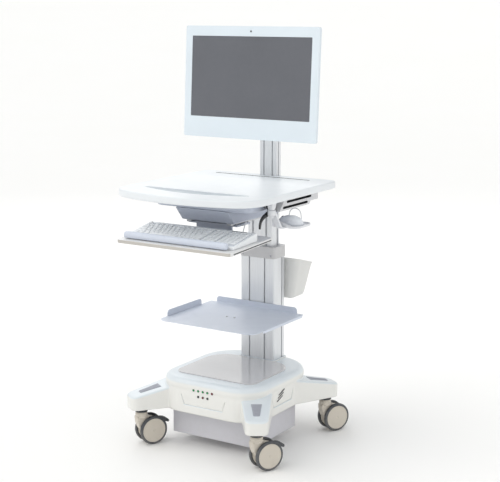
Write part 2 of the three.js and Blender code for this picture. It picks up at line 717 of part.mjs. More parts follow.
const monitorCrown = monitorFootZ + monitorHeight
const monitorMiddle = (monitorFootZ + monitorCrown) / 2
const bezelThickness = 6
const shellEdge = 12
const shellBulge = 26

// A slab that stands facing -Y: drawn as an (x, z) outline from the front face backwards.
function standing(shape, y0, y1, edge = 0) {
  const geometry = edge > 0 ? softPlate(shape, 0, y1 - y0, edge, 4, 2) : plate(shape, 0, y1 - y0)
  geometry.rotateX(Math.PI / 2)
  geometry.translate(0, y1, 0)
  return geometry
}

const screenCrown = monitorCrown - topBezel
const screenFoot = screenCrown - screenHeight
const screenOutline = (slack) => roundedRectangle(-screenWidth / 2 - slack, screenWidth / 2 + slack,
  screenFoot - slack, screenCrown + slack, 2)
const faceOutline = roundedRectangle(-monitorWidth / 2, monitorWidth / 2, monitorFootZ, monitorCrown, 7)
const lensZ = monitorCrown - topBezel / 2
const lensHole = standing(new THREE.Shape().absarc(0, lensZ, 3.2 + gap, 0, Math.PI * 2),
  monitorFaceY - 5, monitorFaceY + 4)
add(monitor, 'monitor_bezel', cut(standing(faceOutline, monitorFaceY, monitorFaceY + bezelThickness),
  standing(screenOutline(gap), monitorFaceY - 5, monitorFaceY + bezelThickness + 5), lensHole), white())
add(monitor, 'screen_glass', standing(screenOutline(0), monitorFaceY + 0.8, monitorFaceY + 4),
  finish(0x3a3d45, 0.08))
add(monitor, 'camera_lens', standing(new THREE.Shape().absarc(0, lensZ, 3.2, 0, Math.PI * 2),
  monitorFaceY + 0.2, monitorFaceY + 3.6), black())

const shellFront = monitorFaceY + bezelThickness + gap
const bulgeOutline = roundedRectangle(-190, 190, monitorMiddle - 130, monitorMiddle + 130, 40)
add(monitor, 'monitor_shell', join(standing(faceOutline, shellFront, shellFront + shellEdge, 4),
  standing(bulgeOutline, shellFront + 2, shellFront + shellEdge + shellBulge, 12)), white())

const shellRear = shellFront + shellEdge + shellBulge
function tiltBracket() {
  const back = standing(roundedRectangle(-60, 60, -60, 60, 8), shellRear + gap, shellRear + gap + 6)
  const arm = block(-earInner + gap, earInner - gap, shellRear + gap + 1, 0, -10, 10)
  const knuckle = pinAlongX(-earInner + gap, earInner - gap, 0, 0, 12, 28)
  return cut(join(back, arm, knuckle), pinAlongX(-60, 60, 0, 0, 5.3))
}
add(monitor, 'tilt_bracket', tiltBracket(), steel())

// ---------------------------------------------------------------- casters
const wheelRadius = wheelDiameter / 2
const axleRadius = 5

function forkSolid() {
  const half = forkWidth / 2
  const side = new THREE.Shape()
  const neck = casterTop - 17
  const rear = casterTrail + 23
  side.moveTo(-stemRadius, neck)
  side.quadraticCurveTo(-stemRadius, wheelRadius + 10, 4, wheelRadius - 8)
  side.quadraticCurveTo(18, wheelRadius - 18, casterTrail, wheelRadius - 16)
  side.quadraticCurveTo(rear, wheelRadius - 14, rear, wheelRadius + 6)
  side.quadraticCurveTo(rear, wheelRadius + 34, casterTrail + 5, wheelRadius + 42)
  side.lineTo(stemRadius, neck)
  const web = sideProfile(side, -half, half, 4)
  const stem = post(0, 0, neck - 1, casterTop - gap, stemRadius, 20)
  const ring = post(0, 0, casterTop - gap - 1, chassisBottom - gap, 13, 20)
  const axle = pinAlongX(-half - wheelWidth + 3, half + wheelWidth - 3, casterTrail, wheelRadius, axleRadius)
  return join(web, stem, ring, axle)
}

// Wheel with a blind bore on the fork side, turned about its own Z.
function wheelSolid() {
  const bore = axleRadius + gap
  const hubRadius = wheelRadius - 12
  const profile = [
    [0, wheelWidth], [hubRadius, wheelWidth], [hubRadius + 2, wheelWidth - 1.5],
    [hubRadius + 5, wheelWidth - 1.5], [hubRadius + 6, wheelWidth], [wheelRadius - 3, wheelWidth - 0.5],
    [wheelRadius, wheelWidth - 4], [wheelRadius, 4], [wheelRadius - 3, 0.5], [bore, 0.5],
    [bore, wheelWidth - 2.4], [0, wheelWidth - 2.4],
  ].reverse().map(([r, z]) => new THREE.Vector2(r, z))
  const geometry = new THREE.LatheGeometry(profile, 28)
  geometry.rotateX(Math.PI / 2)
  return geometry
}

function pedalSolid() {
  const shape = outline([[26, 32], [31, 38], [63, 30], [71, 24], [69, 21], [59, 24], [27, 28]])
  const pedal = sideProfile(shape, -12, 12)
  pedal.translate(0, casterTrail, wheelRadius)
  return pedal
}

for (const [corner, x, y] of corners) {
  const caster = new THREE.Group()
  caster.position.set(x * casterX, y * casterY, 0)
  caster.rotation.z = THREE.MathUtils.degToRad(casterHeading)
  cart.add(caster)
  add(caster, `caster_fork_${corner}`, forkSolid(), beige())
  for (const [side, turn] of [['outer', 1], ['inner', -1]]) {
    const wheel = add(caster, `wheel_${corner}_${side}`, wheelSolid(), charcoal())
    wheel.position.set(turn * (forkWidth / 2), casterTrail, wheelRadius)
    wheel.rotation.y = turn * Math.PI / 2
  }
  if (y < 0) add(caster, `brake_pedal_${corner}`, pedalSolid(), charcoal())
}

// The middle of the footprint is the origin, so the casters' rest heading and the
// pulled-out tray shift every piece by the same two numbers.
const extent = new THREE.Box3().setFromObject(cart, true)
cart.position.x = -(extent.min.x + extent.max.x) / 2
cart.position.y = -(extent.min.y + extent.max.y) / 2

const group = new THREE.Group()
group.add(cart)

export default group
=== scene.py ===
import math

import bmesh
import bpy
from bpy.props import FloatProperty, FloatVectorProperty, IntProperty, PointerProperty
from mathutils import Matrix, Vector


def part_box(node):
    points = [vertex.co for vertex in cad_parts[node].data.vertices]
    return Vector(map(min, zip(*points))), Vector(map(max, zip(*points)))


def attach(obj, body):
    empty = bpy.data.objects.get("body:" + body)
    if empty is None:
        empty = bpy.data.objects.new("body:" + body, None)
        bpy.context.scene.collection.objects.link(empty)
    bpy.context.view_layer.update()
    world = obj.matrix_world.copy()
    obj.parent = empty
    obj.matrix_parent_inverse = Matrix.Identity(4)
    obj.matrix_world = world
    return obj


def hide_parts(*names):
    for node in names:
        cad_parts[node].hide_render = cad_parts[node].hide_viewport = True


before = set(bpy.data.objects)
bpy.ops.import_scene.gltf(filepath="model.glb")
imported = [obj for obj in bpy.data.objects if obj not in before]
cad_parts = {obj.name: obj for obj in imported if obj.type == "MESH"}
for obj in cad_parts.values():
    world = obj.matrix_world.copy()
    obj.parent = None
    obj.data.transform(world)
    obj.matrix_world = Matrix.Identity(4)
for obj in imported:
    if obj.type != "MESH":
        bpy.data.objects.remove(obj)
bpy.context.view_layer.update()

bl_info = {
    "name": "Ward Computer Cart",
    "version": (1, 0, 0),
    "blender": (4, 5, 0),
    "location": "3D View > Sidebar > Cart",
    "description": "Visible pieces and finishes of a height-adjustable ward computer cart",
    "category": "Object",
}

# The cart's own datum: the middle of its width, the line halfway between the caster
# stems and the floor. Every measure below is in millimetres from it.
COLUMN_FRONT = 145.0
plate_low, plate_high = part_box("base_top_plate")
column_low, column_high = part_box("outer_column")
DATUM = Vector(((plate_low.x + plate_high.x) / 2, column_low.y - COLUMN_FRONT / 1000, 0))


def height(node, end):
    """Lowest (0) or highest (1) level of a frame node, in millimetres."""
    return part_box(node)[end].z * 1000


def across(node, axis, end):
    """Lowest (0) or highest (1) place of a frame node along x or y, in datum millimetres."""
    return (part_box(node)[end][axis] - DATUM[axis]) * 1000


def at(x, y, z):
    return DATUM + Vector((x, y, z)) / 1000


TO_ROW = Matrix.Translation(DATUM) @ Matrix.Scale(0.001, 4)

HOOD_BOTTOM = height("base_hood", 0)
HOOD_TOP = height("base_hood", 1)
DESK_TOP = height("desktop", 1)
DESK_BOTTOM = height("desktop", 0)
COLLAR_TOP = height("column_collar", 1)
SHELF_TOP = height("shelf_bracket", 1) + 2.4
BIN_FOOT = height("waste_bin", 0)
CASTER_X = 232.0
CASTER_Y = 227.0
CASTER_TURN = math.radians(-28)
TILT_AXIS = (0.0, 178.0, 1225.0)
TRAY_CORNER = (0.0, -360.0, 737.0)


# ------------------------------------------------------------------ settings
class CartSizes(bpy.types.PropertyGroup):
    """Sizes of the visible pieces that the frame leaves open."""
    hood_round: FloatProperty(name="Hood Rounding", description="Radius of the hood's upper edge",
                              default=0.022, min=0.005, max=0.03, unit="LENGTH")
    hood_voxel: FloatProperty(name="Hood Voxel", description="Grain of the moulded hood's surface",
                              default=0.0028, min=0.0015, max=0.006, unit="LENGTH")
    desk_edge: FloatProperty(name="Desk Edge", description="Rounding of the desktop's edge",
                             default=0.005, min=0.001, max=0.01, unit="LENGTH")
    key_gap: FloatProperty(name="Key Gap", description="Air between two keycaps",
                           default=0.0020, min=0.001, max=0.005, unit="LENGTH")
    key_height: FloatProperty(name="Key Height", description="Height of a keycap over the keyboard",
                              default=0.0045, min=0.002, max=0.009, unit="LENGTH")
    tread_depth: FloatProperty(name="Tread Depth", description="Thickness of the tread on a wheel",
                               default=0.0082, min=0.003, max=0.012, unit="LENGTH")
    arc_steps: IntProperty(name="Arc Steps", description="Points on a quarter turn of an outline",
                           default=10, min=4, max=24)


def tint(name, description, value):
    return FloatVectorProperty(name=name, description=description, default=value, size=3,
                               min=0.0, max=1.0, subtype="COLOR")


class CartColours(bpy.types.PropertyGroup):
    """Colours of the finishes."""
    # The hood's cream is partly its own colour and partly painted warm light bounced onto its sides; the
    # bluer hood top tone is painted cool light from above on its upward faces.
    hood: tint("Hood", "Moulded base cover", (0.84, 0.835, 0.80))
    hood_painted_top_light: tint("Hood Top", "Upward faces of the moulded base cover", (0.74, 0.79, 0.82))
    lid: tint("Lid", "Glossy plate on the base", (0.60, 0.585, 0.59))
    box: tint("Lower Box", "Painted box under the base", (0.70, 0.695, 0.745))
    pad: tint("Leg Pad", "Grip pads on the legs", (0.38, 0.39, 0.44))
    silver: tint("Column", "Anodised profiles", (0.80, 0.815, 0.835))
    collar: tint("Collar", "Glide collar on the column", (0.60, 0.595, 0.60))
    shelf: tint("Shelf", "Painted sheet shelf", (0.66, 0.71, 0.81))
    bin: tint("Bin", "Moulded waste bin", (0.74, 0.74, 0.72))
    desk: tint("Desktop", "Moulded work surface", (0.83, 0.86, 0.885))
    recess: tint("Recess", "Floor of the shallow desktop tray", (0.50, 0.55, 0.60))
    cover: tint("Under-desk Cover", "Blue-grey covers under the desktop", (0.53, 0.57, 0.67))
    housing: tint("Side Box", "Slotted box under the desktop", (0.68, 0.68, 0.70))
    tray: tint("Keyboard Tray", "Tray board", (0.56, 0.53, 0.49))
    rest: tint("Wrist Rest", "Soft wrist rest", (0.66, 0.705, 0.80))
    keys: tint("Keys", "Keyboard and keycaps", (0.90, 0.92, 0.94))
    casing: tint("Monitor Casing", "Monitor frame and rear shell", (0.78, 0.86, 0.92))
    display: tint("Display", "Dark glossy display face", (0.115, 0.12, 0.14))
    caster: tint("Caster", "Caster forks and hubs", (0.64, 0.585, 0.50))
    tread: tint("Tread", "Wheel treads and pedals", (0.045, 0.05, 0.06))


def sizes():
    return bpy.context.scene.cart_sizes


def colours():
    return bpy.context.scene.cart_colours


# ------------------------------------------------------------------ shared shader groups
def make_group(name, inputs, outputs):
    tree = bpy.data.node_groups.new(name, "ShaderNodeTree")
    for label, kind, value in inputs:
        socket = tree.interface.new_socket(label, in_out="INPUT", socket_type=kind)
        socket.default_value = value
    for label, kind in outputs:
        tree.interface.new_socket(label, in_out="OUTPUT", socket_type=kind)
    return tree, tree.nodes.new("NodeGroupInput"), tree.nodes.new("NodeGroupOutput")


def noise(tree, scale, detail=3.0, roughness=0.55):
    node = tree.nodes.new("ShaderNodeTexNoise")
    node.inputs["Detail"].default_value = detail
    node.inputs["Roughness"].default_value = roughness
    if isinstance(scale, (int, float)):
        node.inputs["Scale"].default_value = scale
    else:
        tree.links.new(scale, node.inputs["Scale"])
    return node


def remap(tree, value, low, high):
    node = tree.nodes.new("ShaderNodeMapRange")
    tree.links.new(value, node.inputs["Value"])
    node.inputs["From Min"].default_value = 0.3
    node.inputs["From Max"].default_value = 0.7
    for socket, limit in (("To Min", low), ("To Max", high)):
        if isinstance(limit, (int, float)):
            node.inputs[socket].default_value = limit
        else:
            tree.links.new(limit, node.inputs[socket])
    return node.outputs["Result"]


def blend_colours(tree, factor, first, second):
    node = tree.nodes.new("ShaderNodeMix")
    node.data_type = "RGBA"
    for socket, source in ((node.inputs[0], factor), (node.inputs[6], first), (node.inputs[7], second)):
        if isinstance(source, bpy.types.NodeSocket):
            tree.links.new(source, socket)
        else:
            socket.default_value = source
    return node.outputs[2]


def calculate(tree, operation, first, second):
    node = tree.nodes.new("ShaderNodeMath")
    node.operation = operation
    for socket, source in zip(node.inputs, (first, second)):
        if isinstance(source, bpy.types.NodeSocket):
            tree.links.new(source, socket)
        else:
            socket.default_value = source
    return node.outputs[0]


def moulded_group():
    """Fine spark-eroded grain, slow colour drift and faint pale scuffs for moulded plastic."""
    tree, source, result = make_group(
        "moulded_skin",
        [("Colour", "NodeSocketColor", (0.8, 0.8, 0.8, 1)), ("Shade", "NodeSocketColor", (0.7, 0.7, 0.7, 1)),
         ("Grain", "NodeSocketFloat", 1400.0), ("Gloss", "NodeSocketFloat", 0.35),
         ("Wear", "NodeSocketFloat", 0.04)],
        [("Colour", "NodeSocketColor"), ("Roughness", "NodeSocketFloat"), ("Height", "NodeSocketFloat")])
    place = tree.nodes.new("ShaderNodeTexCoord")
    drift = noise(tree, 7.0, 4.0)
    grain = noise(tree, source.outputs["Grain"], 2.0)
    smudge = noise(tree, 28.0, 5.0, 0.6)
    for node in (drift, grain, smudge):
        tree.links.new(place.outputs["Object"], node.inputs["Vector"])
    body = blend_colours(tree, remap(tree, drift.outputs["Fac"], 0.0, 0.5),
                         source.outputs["Colour"], source.outputs["Shade"])
    scuff = noise(tree, 60.0, 3.0, 0.5)
    tree.links.new(place.outputs["Object"], scuff.inputs["Vector"])
    worn = remap(tree, scuff.outputs["Fac"], 0.0, source.outputs["Wear"])
    body = blend_colours(tree, worn, body, (0.93, 0.94, 0.95, 1))
    tree.links.new(body, result.inputs["Colour"])
    spread = remap(tree, smudge.outputs["Fac"], -0.05, 0.07)
    tree.links.new(calculate(tree, "ADD", source.outputs["Gloss"], spread), result.inputs["Roughness"])
    tree.links.new(grain.outputs["Fac"], result.inputs["Height"])
    return tree


def brushed_group():
    """Fine drawn lines along the height of an anodised or ground metal piece."""
    tree, source, result = make_group(
        "drawn_metal",
        [("Colour", "NodeSocketColor", (0.7, 0.7, 0.72, 1)),
         ("Shade", "NodeSocketColor", (0.5, 0.5, 0.52, 1)), ("Gloss", "NodeSocketFloat", 0.3)],
        [("Colour", "NodeSocketColor"), ("Roughness", "NodeSocketFloat"), ("Height", "NodeSocketFloat")])
    place = tree.nodes.new("ShaderNodeTexCoord")
    stretch = tree.nodes.new("ShaderNodeMapping")
    stretch.inputs["Scale"].default_value = (900, 900, 9)
    tree.links.new(place.outputs["Object"], stretch.inputs["Vector"])
    lines = noise(tree, 1.0, 3.0)
    tree.links.new(stretch.outputs["Vector"], lines.inputs["Vector"])
    cloud = noise(tree, 11.0, 3.0)
    tree.links.new(place.outputs["Object"], cloud.inputs["Vector"])
    body = blend_colours(tree, remap(tree, lines.outputs["Fac"], 0.0, 0.45),
                         source.outputs["Colour"], source.outputs["Shade"])
    tree.links.new(body, result.inputs["Colour"])
    spread = remap(tree, cloud.outputs["Fac"], -0.05, 0.08)
    tree.links.new(calculate(tree, "ADD", source.outputs["Gloss"], spread), result.inputs["Roughness"])
    tree.links.new(lines.outputs["Fac"], result.inputs["Height"])
    return tree


def dust_group():
    """Soft grey dust that gathers low on the cart."""
    tree, source, result = make_group(
        "floor_dust",
        [("Colour", "NodeSocketColor", (0.8, 0.8, 0.8, 1)), ("Dust", "NodeSocketColor", (0.45, 0.43, 0.4, 1)),
         ("Amount", "NodeSocketFloat", 0.25), ("Reach", "NodeSocketFloat", 0.16)],
        [("Colour", "NodeSocketColor")])
    place = tree.nodes.new("ShaderNodeTexCoord")
    split = tree.nodes.new("ShaderNodeSeparateXYZ")
    tree.links.new(place.outputs["Object"], split.inputs["Vector"])
    low = calculate(tree, "DIVIDE", split.outputs["Z"], source.outputs["Reach"])
    mask = calculate(tree, "SUBTRACT", 1.0, low)
    patch = noise(tree, 34.0, 5.0, 0.65)
    tree.links.new(place.outputs["Object"], patch.inputs["Vector"])
    mask = calculate(tree, "MULTIPLY", mask, remap(tree, patch.outputs["Fac"], 0.15, 1.0))
    mask = calculate(tree, "MULTIPLY", mask, source.outputs["Amount"])
    mask = calculate(tree, "MAXIMUM", mask, 0.0)
    tree.links.new(blend_colours(tree, mask, source.outputs["Colour"], source.outputs["Dust"]),
                   result.inputs["Colour"])
    return tree


def painted_top_light_group():
    """Painted light: a second tone on the surfaces that face up, standing in for the colour of the light that
    falls on them from above.
    """
    tree, source, result = make_group(
        "painted_top_light_tone",
        [("Colour", "NodeSocketColor", (0.8, 0.8, 0.8, 1)),
         ("Upper", "NodeSocketColor", (0.8, 0.85, 0.9, 1))],
        [("Colour", "NodeSocketColor")])
    shape = tree.nodes.new("ShaderNodeNewGeometry")
    split = tree.nodes.new("ShaderNodeSeparateXYZ")
    tree.links.new(shape.outputs["Normal"], split.inputs["Vector"])
    rise = tree.nodes.new("ShaderNodeMapRange")
    rise.interpolation_type = "SMOOTHSTEP"
    rise.inputs["From Min"].default_value = 0.05
    rise.inputs["From Max"].default_value = 0.55
    tree.links.new(split.outputs["Z"], rise.inputs["Value"])
    painted_light_tone = blend_colours(tree, rise.outputs["Result"], source.outputs["Colour"], source.outputs["Upper"])
    tree.links.new(painted_light_tone, result.inputs["Colour"])
    return tree


GROUPS = {}


def shared(name, maker):
    """A shader group by name, made the first time it is asked for."""
    if name not in GROUPS:
        GROUPS[name] = maker()
    return GROUPS[name]


# ------------------------------------------------------------------ finishes
def four(colour, factor=1.0):
    return (colour[0] * factor, colour[1] * factor, colour[2] * factor, 1.0)


def place_group(tree, group, **values):
    node = tree.nodes.new("ShaderNodeGroup")
    node.node_tree = group
    for label, value in values.items():
        node.inputs[label].default_value = value
    return node


def bare_material(name):
    material = bpy.data.materials.new(name)
    material.use_nodes = True
    return material, material.node_tree, material.node_tree.nodes["Principled BSDF"]


def add_bump(tree, shader, height_socket, strength, distance):
    bump = tree.nodes.new("ShaderNodeBump")
    bump.inputs["Strength"].default_value = strength
    bump.inputs["Distance"].default_value = distance
    tree.links.new(height_socket, bump.inputs["Height"])
    tree.links.new(bump.outputs["Normal"], shader.inputs["Normal"])


def moulded(name, colour, gloss=0.35, coat=0.0, grain=1400.0, bump=0.12, dusty=0.0, drift=0.93, wear=0.03,
            upper=None):
    """Moulded plastic or paint; a bump of 0 leaves the grain out."""
    material, tree, shader = bare_material(name)
    skin = place_group(tree, shared("moulded", moulded_group), Colour=four(colour),
                       Shade=four(colour, drift), Grain=grain, Gloss=gloss, Wear=wear)
    body = skin.outputs["Colour"]
    # Painted light: upper is a tone for the upward faces that stands in for light from above.
    if upper:
        crown = place_group(tree, shared("crown", painted_top_light_group), Upper=four(upper))
        tree.links.new(body, crown.inputs["Colour"])
        body = crown.outputs["Colour"]
    if dusty:
        dust = place_group(tree, shared("dust", dust_group), Amount=dusty)
        tree.links.new(body, dust.inputs["Colour"])
        body = dust.outputs["Colour"]
    tree.links.new(body, shader.inputs["Base Color"])
    tree.links.new(skin.outputs["Roughness"], shader.inputs["Roughness"])
    if bump:
        add_bump(tree, shader, skin.outputs["Height"], bump, 0.0002)
    shader.inputs["Coat Weight"].default_value = coat
    shader.inputs["Coat Roughness"].default_value = 0.12
    return material


def drawn(name, colour, gloss=0.3, metallic=0.85, bump=0.1):
    """Drawn or ground metal with fine upright lines."""
    material, tree, shader = bare_material(name)
    skin = place_group(tree, shared("brushed", brushed_group), Colour=four(colour),
                       Shade=four(colour, 0.82), Gloss=gloss)
    tree.links.new(skin.outputs["Colour"], shader.inputs["Base Color"])
    tree.links.new(skin.outputs["Roughness"], shader.inputs["Roughness"])
    add_bump(tree, shader, skin.outputs["Height"], bump, 0.0001)
    shader.inputs["Metallic"].default_value = metallic
    return material


def lamp(name, colour, strength):
    """A small status light: coloured lens with a fine darker speckle, glowing at the given strength."""
    material, tree, shader = bare_material(name)
    place = tree.nodes.new("ShaderNodeTexCoord")
    speck = noise(tree, 900.0, 2.0)
    tree.links.new(place.outputs["Object"], speck.inputs["Vector"])
    body = blend_colours(tree, remap(tree, speck.outputs["Fac"], 0.0, 0.5), four(colour), four(colour, 0.6))
    tree.links.new(body, shader.inputs["Base Color"])
    tree.links.new(body, shader.inputs["Emission Color"])
    shader.inputs["Emission Strength"].default_value = strength
    shader.inputs["Roughness"].default_value = 0.25
    return material


FINISH = {}


def finish(name):
    """A finish by name, made the first time it is asked for."""
    if name in FINISH:
        return FINISH[name]
    c = colours()
    recipes = {
        # The hood's finish blends in the painted top light tone on its upward faces.
        "hood": lambda: moulded("hood_moulding", c.hood, 0.34, 0.25, dusty=0.12, upper=c.hood_painted_top_light),
        "lid": lambda: moulded("glossy_lid", c.lid, 0.10, 0.9, 600.0, 0.02),
        "box": lambda: moulded("box_powder_coat", c.box, 0.36, 0.1, 2200.0, 0.2, dusty=0.25),
        "pad": lambda: moulded("grip_pad", c.pad, 0.6, 0.0, 900.0, 0.6),
        "silver": lambda: drawn("anodised_profile", c.silver, 0.34, 0.55),
        # Painted shadow: a near-black finish for the strip that stands for the shade in the tray's side
        # groove.
        "groove": lambda: moulded("groove_painted_shadow", (0.05, 0.055, 0.06), 0.5),
        "collar": lambda: moulded("glide_collar", c.collar, 0.45),
        "steel": lambda: drawn("bright_steel", (0.52, 0.53, 0.55), 0.25, 1.0),
        "frame": lambda: moulded("dark_powder_coat", (0.10, 0.10, 0.11), 0.5, 0.0, 2600.0, 0.3),
        "shelf": lambda: moulded("shelf_powder_coat", c.shelf, 0.42, 0.0, 600.0, 0.0),
        "bin": lambda: moulded("bin_moulding", c.bin, 0.4, 0.1),
        "desk": lambda: moulded("desktop_moulding", c.desk, 0.36, 0.0, 600.0, 0.0),
        "recess": lambda: moulded("recess_floor", c.recess, 0.45),
        "cover": lambda: moulded("cover_moulding", c.cover, 0.38, 0.1),
        "housing": lambda: moulded("side_box_moulding", c.housing, 0.4),
        "dark": lambda: moulded("slot_shadow", (0.012, 0.013, 0.016), 0.7),
        "lever": lambda: moulded("lever_gloss", (0.010, 0.010, 0.012), 0.42, 0.12, 900.0, 0.05),
        "tray": lambda: moulded("tray_board", c.tray, 0.4, 0.1),
        "traytop": lambda: moulded("tray_top", (0.80, 0.80, 0.80), 0.35, 0.1),
        "rest": lambda: moulded("wrist_rest_skin", c.rest, 0.48, 0.0, 1100.0, 0.35),
        "keys": lambda: moulded("keyboard_moulding", c.keys, 0.42, 0.0, 1800.0, 0.15),
        "keywell": lambda: moulded("key_well", (0.66, 0.69, 0.74), 0.6),
        "arm": lambda: moulded("arm_moulding", (0.80, 0.81, 0.84), 0.36, 0.1),
        "mouse": lambda: moulded("mouse_shell", (0.86, 0.89, 0.94), 0.26, 0.3),
        "cable": lambda: moulded("cable_sheath", (0.72, 0.74, 0.77), 0.5),
        "casing": lambda: moulded("monitor_casing", c.casing, 0.2, 0.5, 1800.0, 0.04),
        "display": lambda: moulded("display_face", c.display, 0.10, 0.6, 300.0, 0.01, drift=0.85, wear=0.004),
        "lens": lambda: moulded("lens_glass", (0.008, 0.009, 0.014), 0.05, 1.0, 300.0, 0.01),
        "caster": lambda: moulded("caster_moulding", c.caster, 0.42, 0.1, dusty=0.2),
        "tread": lambda: moulded("wheel_tread", c.tread, 0.65, 0.0, 1500.0, 0.4, dusty=0.3),
        "pack": lambda: moulded("dark_case", (0.03, 0.03, 0.033), 0.5),
        "green": lambda: lamp("light_green", (0.03, 0.30, 0.10), 0.35),
        "amber": lambda: lamp("light_red", (0.22, 0.03, 0.04), 0.15),
        "unlit": lambda: lamp("light_unlit", (0.035, 0.04, 0.04), 0.0),
    }
    FINISH[name] = recipes[name]()
    return FINISH[name]


# ------------------------------------------------------------------ outlines
def arc(cx, cy, radius, start, end, steps):
    """Points on an arc, angles in degrees, both ends included."""
    return [(cx + radius * math.cos(math.radians(start + (end - start) * i / steps)),
             cy + radius * math.sin(math.radians(start + (end - start) * i / steps)))
            for i in range(steps + 1)]


def bow(first, pull, last, steps):
    """Points on a quadratic curve, the first one left out."""
    points = []
    for i in range(1, steps + 1):
        t = i / steps
        a, b, c = (1 - t) ** 2, 2 * t * (1 - t), t * t
        points.append((a * first[0] + b * pull[0] + c * last[0], a * first[1] + b * pull[1] + c * last[1]))
    return points


def rounded(x0, x1, y0, y1, front, rear=None, steps=None):
    """Rounded rectangle, anticlockwise, with one radius for the y0 corners and one for the y1 corners."""
    rear = front if rear is None else rear
    steps = steps or sizes().arc_steps
    return (arc(x0 + front, y0 + front, front, 180, 270, steps)
            + arc(x1 - front, y0 + front, front, 270, 360, steps)
            + arc(x1 - rear, y1 - rear, rear, 0, 90, steps)
            + arc(x0 + rear, y1 - rear, rear, 90, 180, steps))


def shrink(points, amount):
    """The outline moved inwards by amount; it runs anticlockwise."""
    moved = []
    count = len(points)
    for i, (x, y) in enumerate(points):
        px, py = points[i - 1]
        nx, ny = points[(i + 1) % count]
        before = Vector((x - px, y - py))
        after = Vector((nx - x, ny - y))
        before = before.normalized() if before.length > 1e-6 else after.normalized()
        after = after.normalized() if after.length > 1e-6 else before
        inward = Vector((-(before.y + after.y), before.x + after.x))
        if inward.length < 1e-6:
            moved.append((x, y))
            continue
        inward.normalize()
        side = max(0.35, abs(inward.x * -before.y + inward.y * before.x))
        moved.append((x + inward.x * amount / side, y + inward.y * amount / side))
    return moved


def drawn_in(outline, inset):
    """The outline moved inwards, or left as it is by an inset of 0."""
    return shrink(outline, inset) if inset else outline


def slotted(half, front, rear, radius, slots, side, width, depth, back=True):
    """Plan of an extruded profile with undercut grooves at +-slots in front and behind, and at side."""
    lip = 1.6
    steps = 5

    def groove(middle, level, sign, along):
        offsets = [(-0.5, 0), (-0.5, lip), (-0.9, lip), (-0.9, depth),
                   (0.9, depth), (0.9, lip), (0.5, lip), (0.5, 0)]
        return [along(middle + o * width, level + sign * d) for o, d in offsets]

    outline = arc(-half + radius, front + radius, radius, 180, 270, steps)
    for x in (-slots, slots):
        outline += groove(x, front, 1, lambda a, b: (a, b))
    outline += arc(half - radius, front + radius, radius, 270, 360, steps)
    outline += groove(side, half, -1, lambda a, b: (b, a))
    outline += arc(half - radius, rear - radius, radius, 0, 90, steps)
    if back:
        for x in (slots, -slots):
            outline += list(reversed(groove(x, rear, -1, lambda a, b: (a, b))))
    outline += arc(-half + radius, rear - radius, radius, 90, 180, steps)
    outline += list(reversed(groove(side, -half, 1, lambda a, b: (b, a))))
    return outline


# ------------------------------------------------------------------ mesh making
def tidy(points):
    """The outline without doubled points."""
    kept = []
    for p in points:
        if not kept or math.dist(kept[-1], p) > 1e-4:
            kept.append(p)
    if math.dist(kept[0], kept[-1]) < 1e-4:
        kept.pop()
    return kept


def loft(bm, rings, capped=True):
    """Skin over rings of points, each ring with the same number of points."""
    made = [[bm.verts.new(p) for p in ring] for ring in rings]
    for lower, upper in zip(made, made[1:]):
        count = len(lower)
        for i in range(count):
            j = (i + 1) % count
            bm.faces.new((lower[i], lower[j], upper[j], upper[i]))
    if capped:
        bm.faces.new(list(reversed(made[0])))
        bm.faces.new(made[-1])
    return made


def prism(bm, outline, low, high, axis="z"):
    """A closed extrusion of an outline: (x, y) along z, (x, z) along y or (y, z) along x."""
    outline = tidy(outline)
    turn = {"z": lambda a, b, t: (a, b, t),
            "y": lambda a, b, t: (a, t, b),
            "x": lambda a, b, t: (t, a, b)}[axis]
    loft(bm, [[turn(a, b, t) for a, b in outline] for t in (low, high)])
    return bm


def block(bm, x0, x1, y0, y1, z0, z1):
    return prism(bm, [(x0, y0), (x1, y0), (x1, y1), (x0, y1)], z0, z1)


def turned(bm, profile, matrix, steps=48):
    """A body turned about its own Z from (radius, z) points, closed at both ends on the axis."""
    rings = []
    for radius, z in profile:
        radius = max(radius, 0.01)
        rings.append([matrix @ Vector((radius * math.cos(2 * math.pi * i / steps),
                                       radius * math.sin(2 * math.pi * i / steps), z)) for i in range(steps)])
    loft(bm, rings)
    return bm


def upright(x, y, z=0.0):
    return Matrix.Translation((x, y, z))


def facing(direction, place):
    """Matrix that stands a turned body's Z along direction at place."""
    return Matrix.Translation(place) @ Vector(direction).to_track_quat("Z", "Y").to_matrix().to_4x4()


def fresh():
    return bmesh.new()


def to_mesh(bm, name, matrix=None):
    bmesh.ops.remove_doubles(bm, verts=bm.verts, dist=1e-4)
    bmesh.ops.recalc_face_normals(bm, faces=bm.faces)
    bm.transform(TO_ROW @ (matrix or Matrix.Identity(4)))
    mesh = bpy.data.meshes.new(name)
    bm.to_mesh(mesh)
    bm.free()
    return mesh


def raw_object(name, mesh):
    piece = bpy.data.objects.new(name, mesh)
    bpy.context.scene.collection.objects.link(piece)
    return piece


def bake(piece):
    """Modifiers made part of the piece's own mesh."""
    view = bpy.context.evaluated_depsgraph_get()
    mesh = bpy.data.meshes.new_from_object(piece.evaluated_get(view))
    piece.modifiers.clear()
    piece.data = mesh


def carve(piece, cutter, operation="DIFFERENCE"):
    """Cuts the bmesh cutter, in datum millimetres, out of the piece, or keeps only what lies in it."""
    tool = raw_object("cutter", to_mesh(cutter, "cutter"))
    modifier = piece.modifiers.new("carve", "BOOLEAN")
    modifier.operation = operation
    modifier.solver = "EXACT"
    modifier.object = tool
    bpy.context.view_layer.update()
    bake(piece)
    bpy.data.objects.remove(tool)


def round_edges(piece, width, segments=3, angle=32):
    """Rounded edges of width millimetres and even shading over them."""
    bevel = piece.modifiers.new("rounding", "BEVEL")
    bevel.width = width / 1000
    bevel.segments = segments
    bevel.limit_method = "ANGLE"
    bevel.angle_limit = math.radians(angle)
    bevel.harden_normals = True
    bevel.miter_outer = "MITER_ARC"


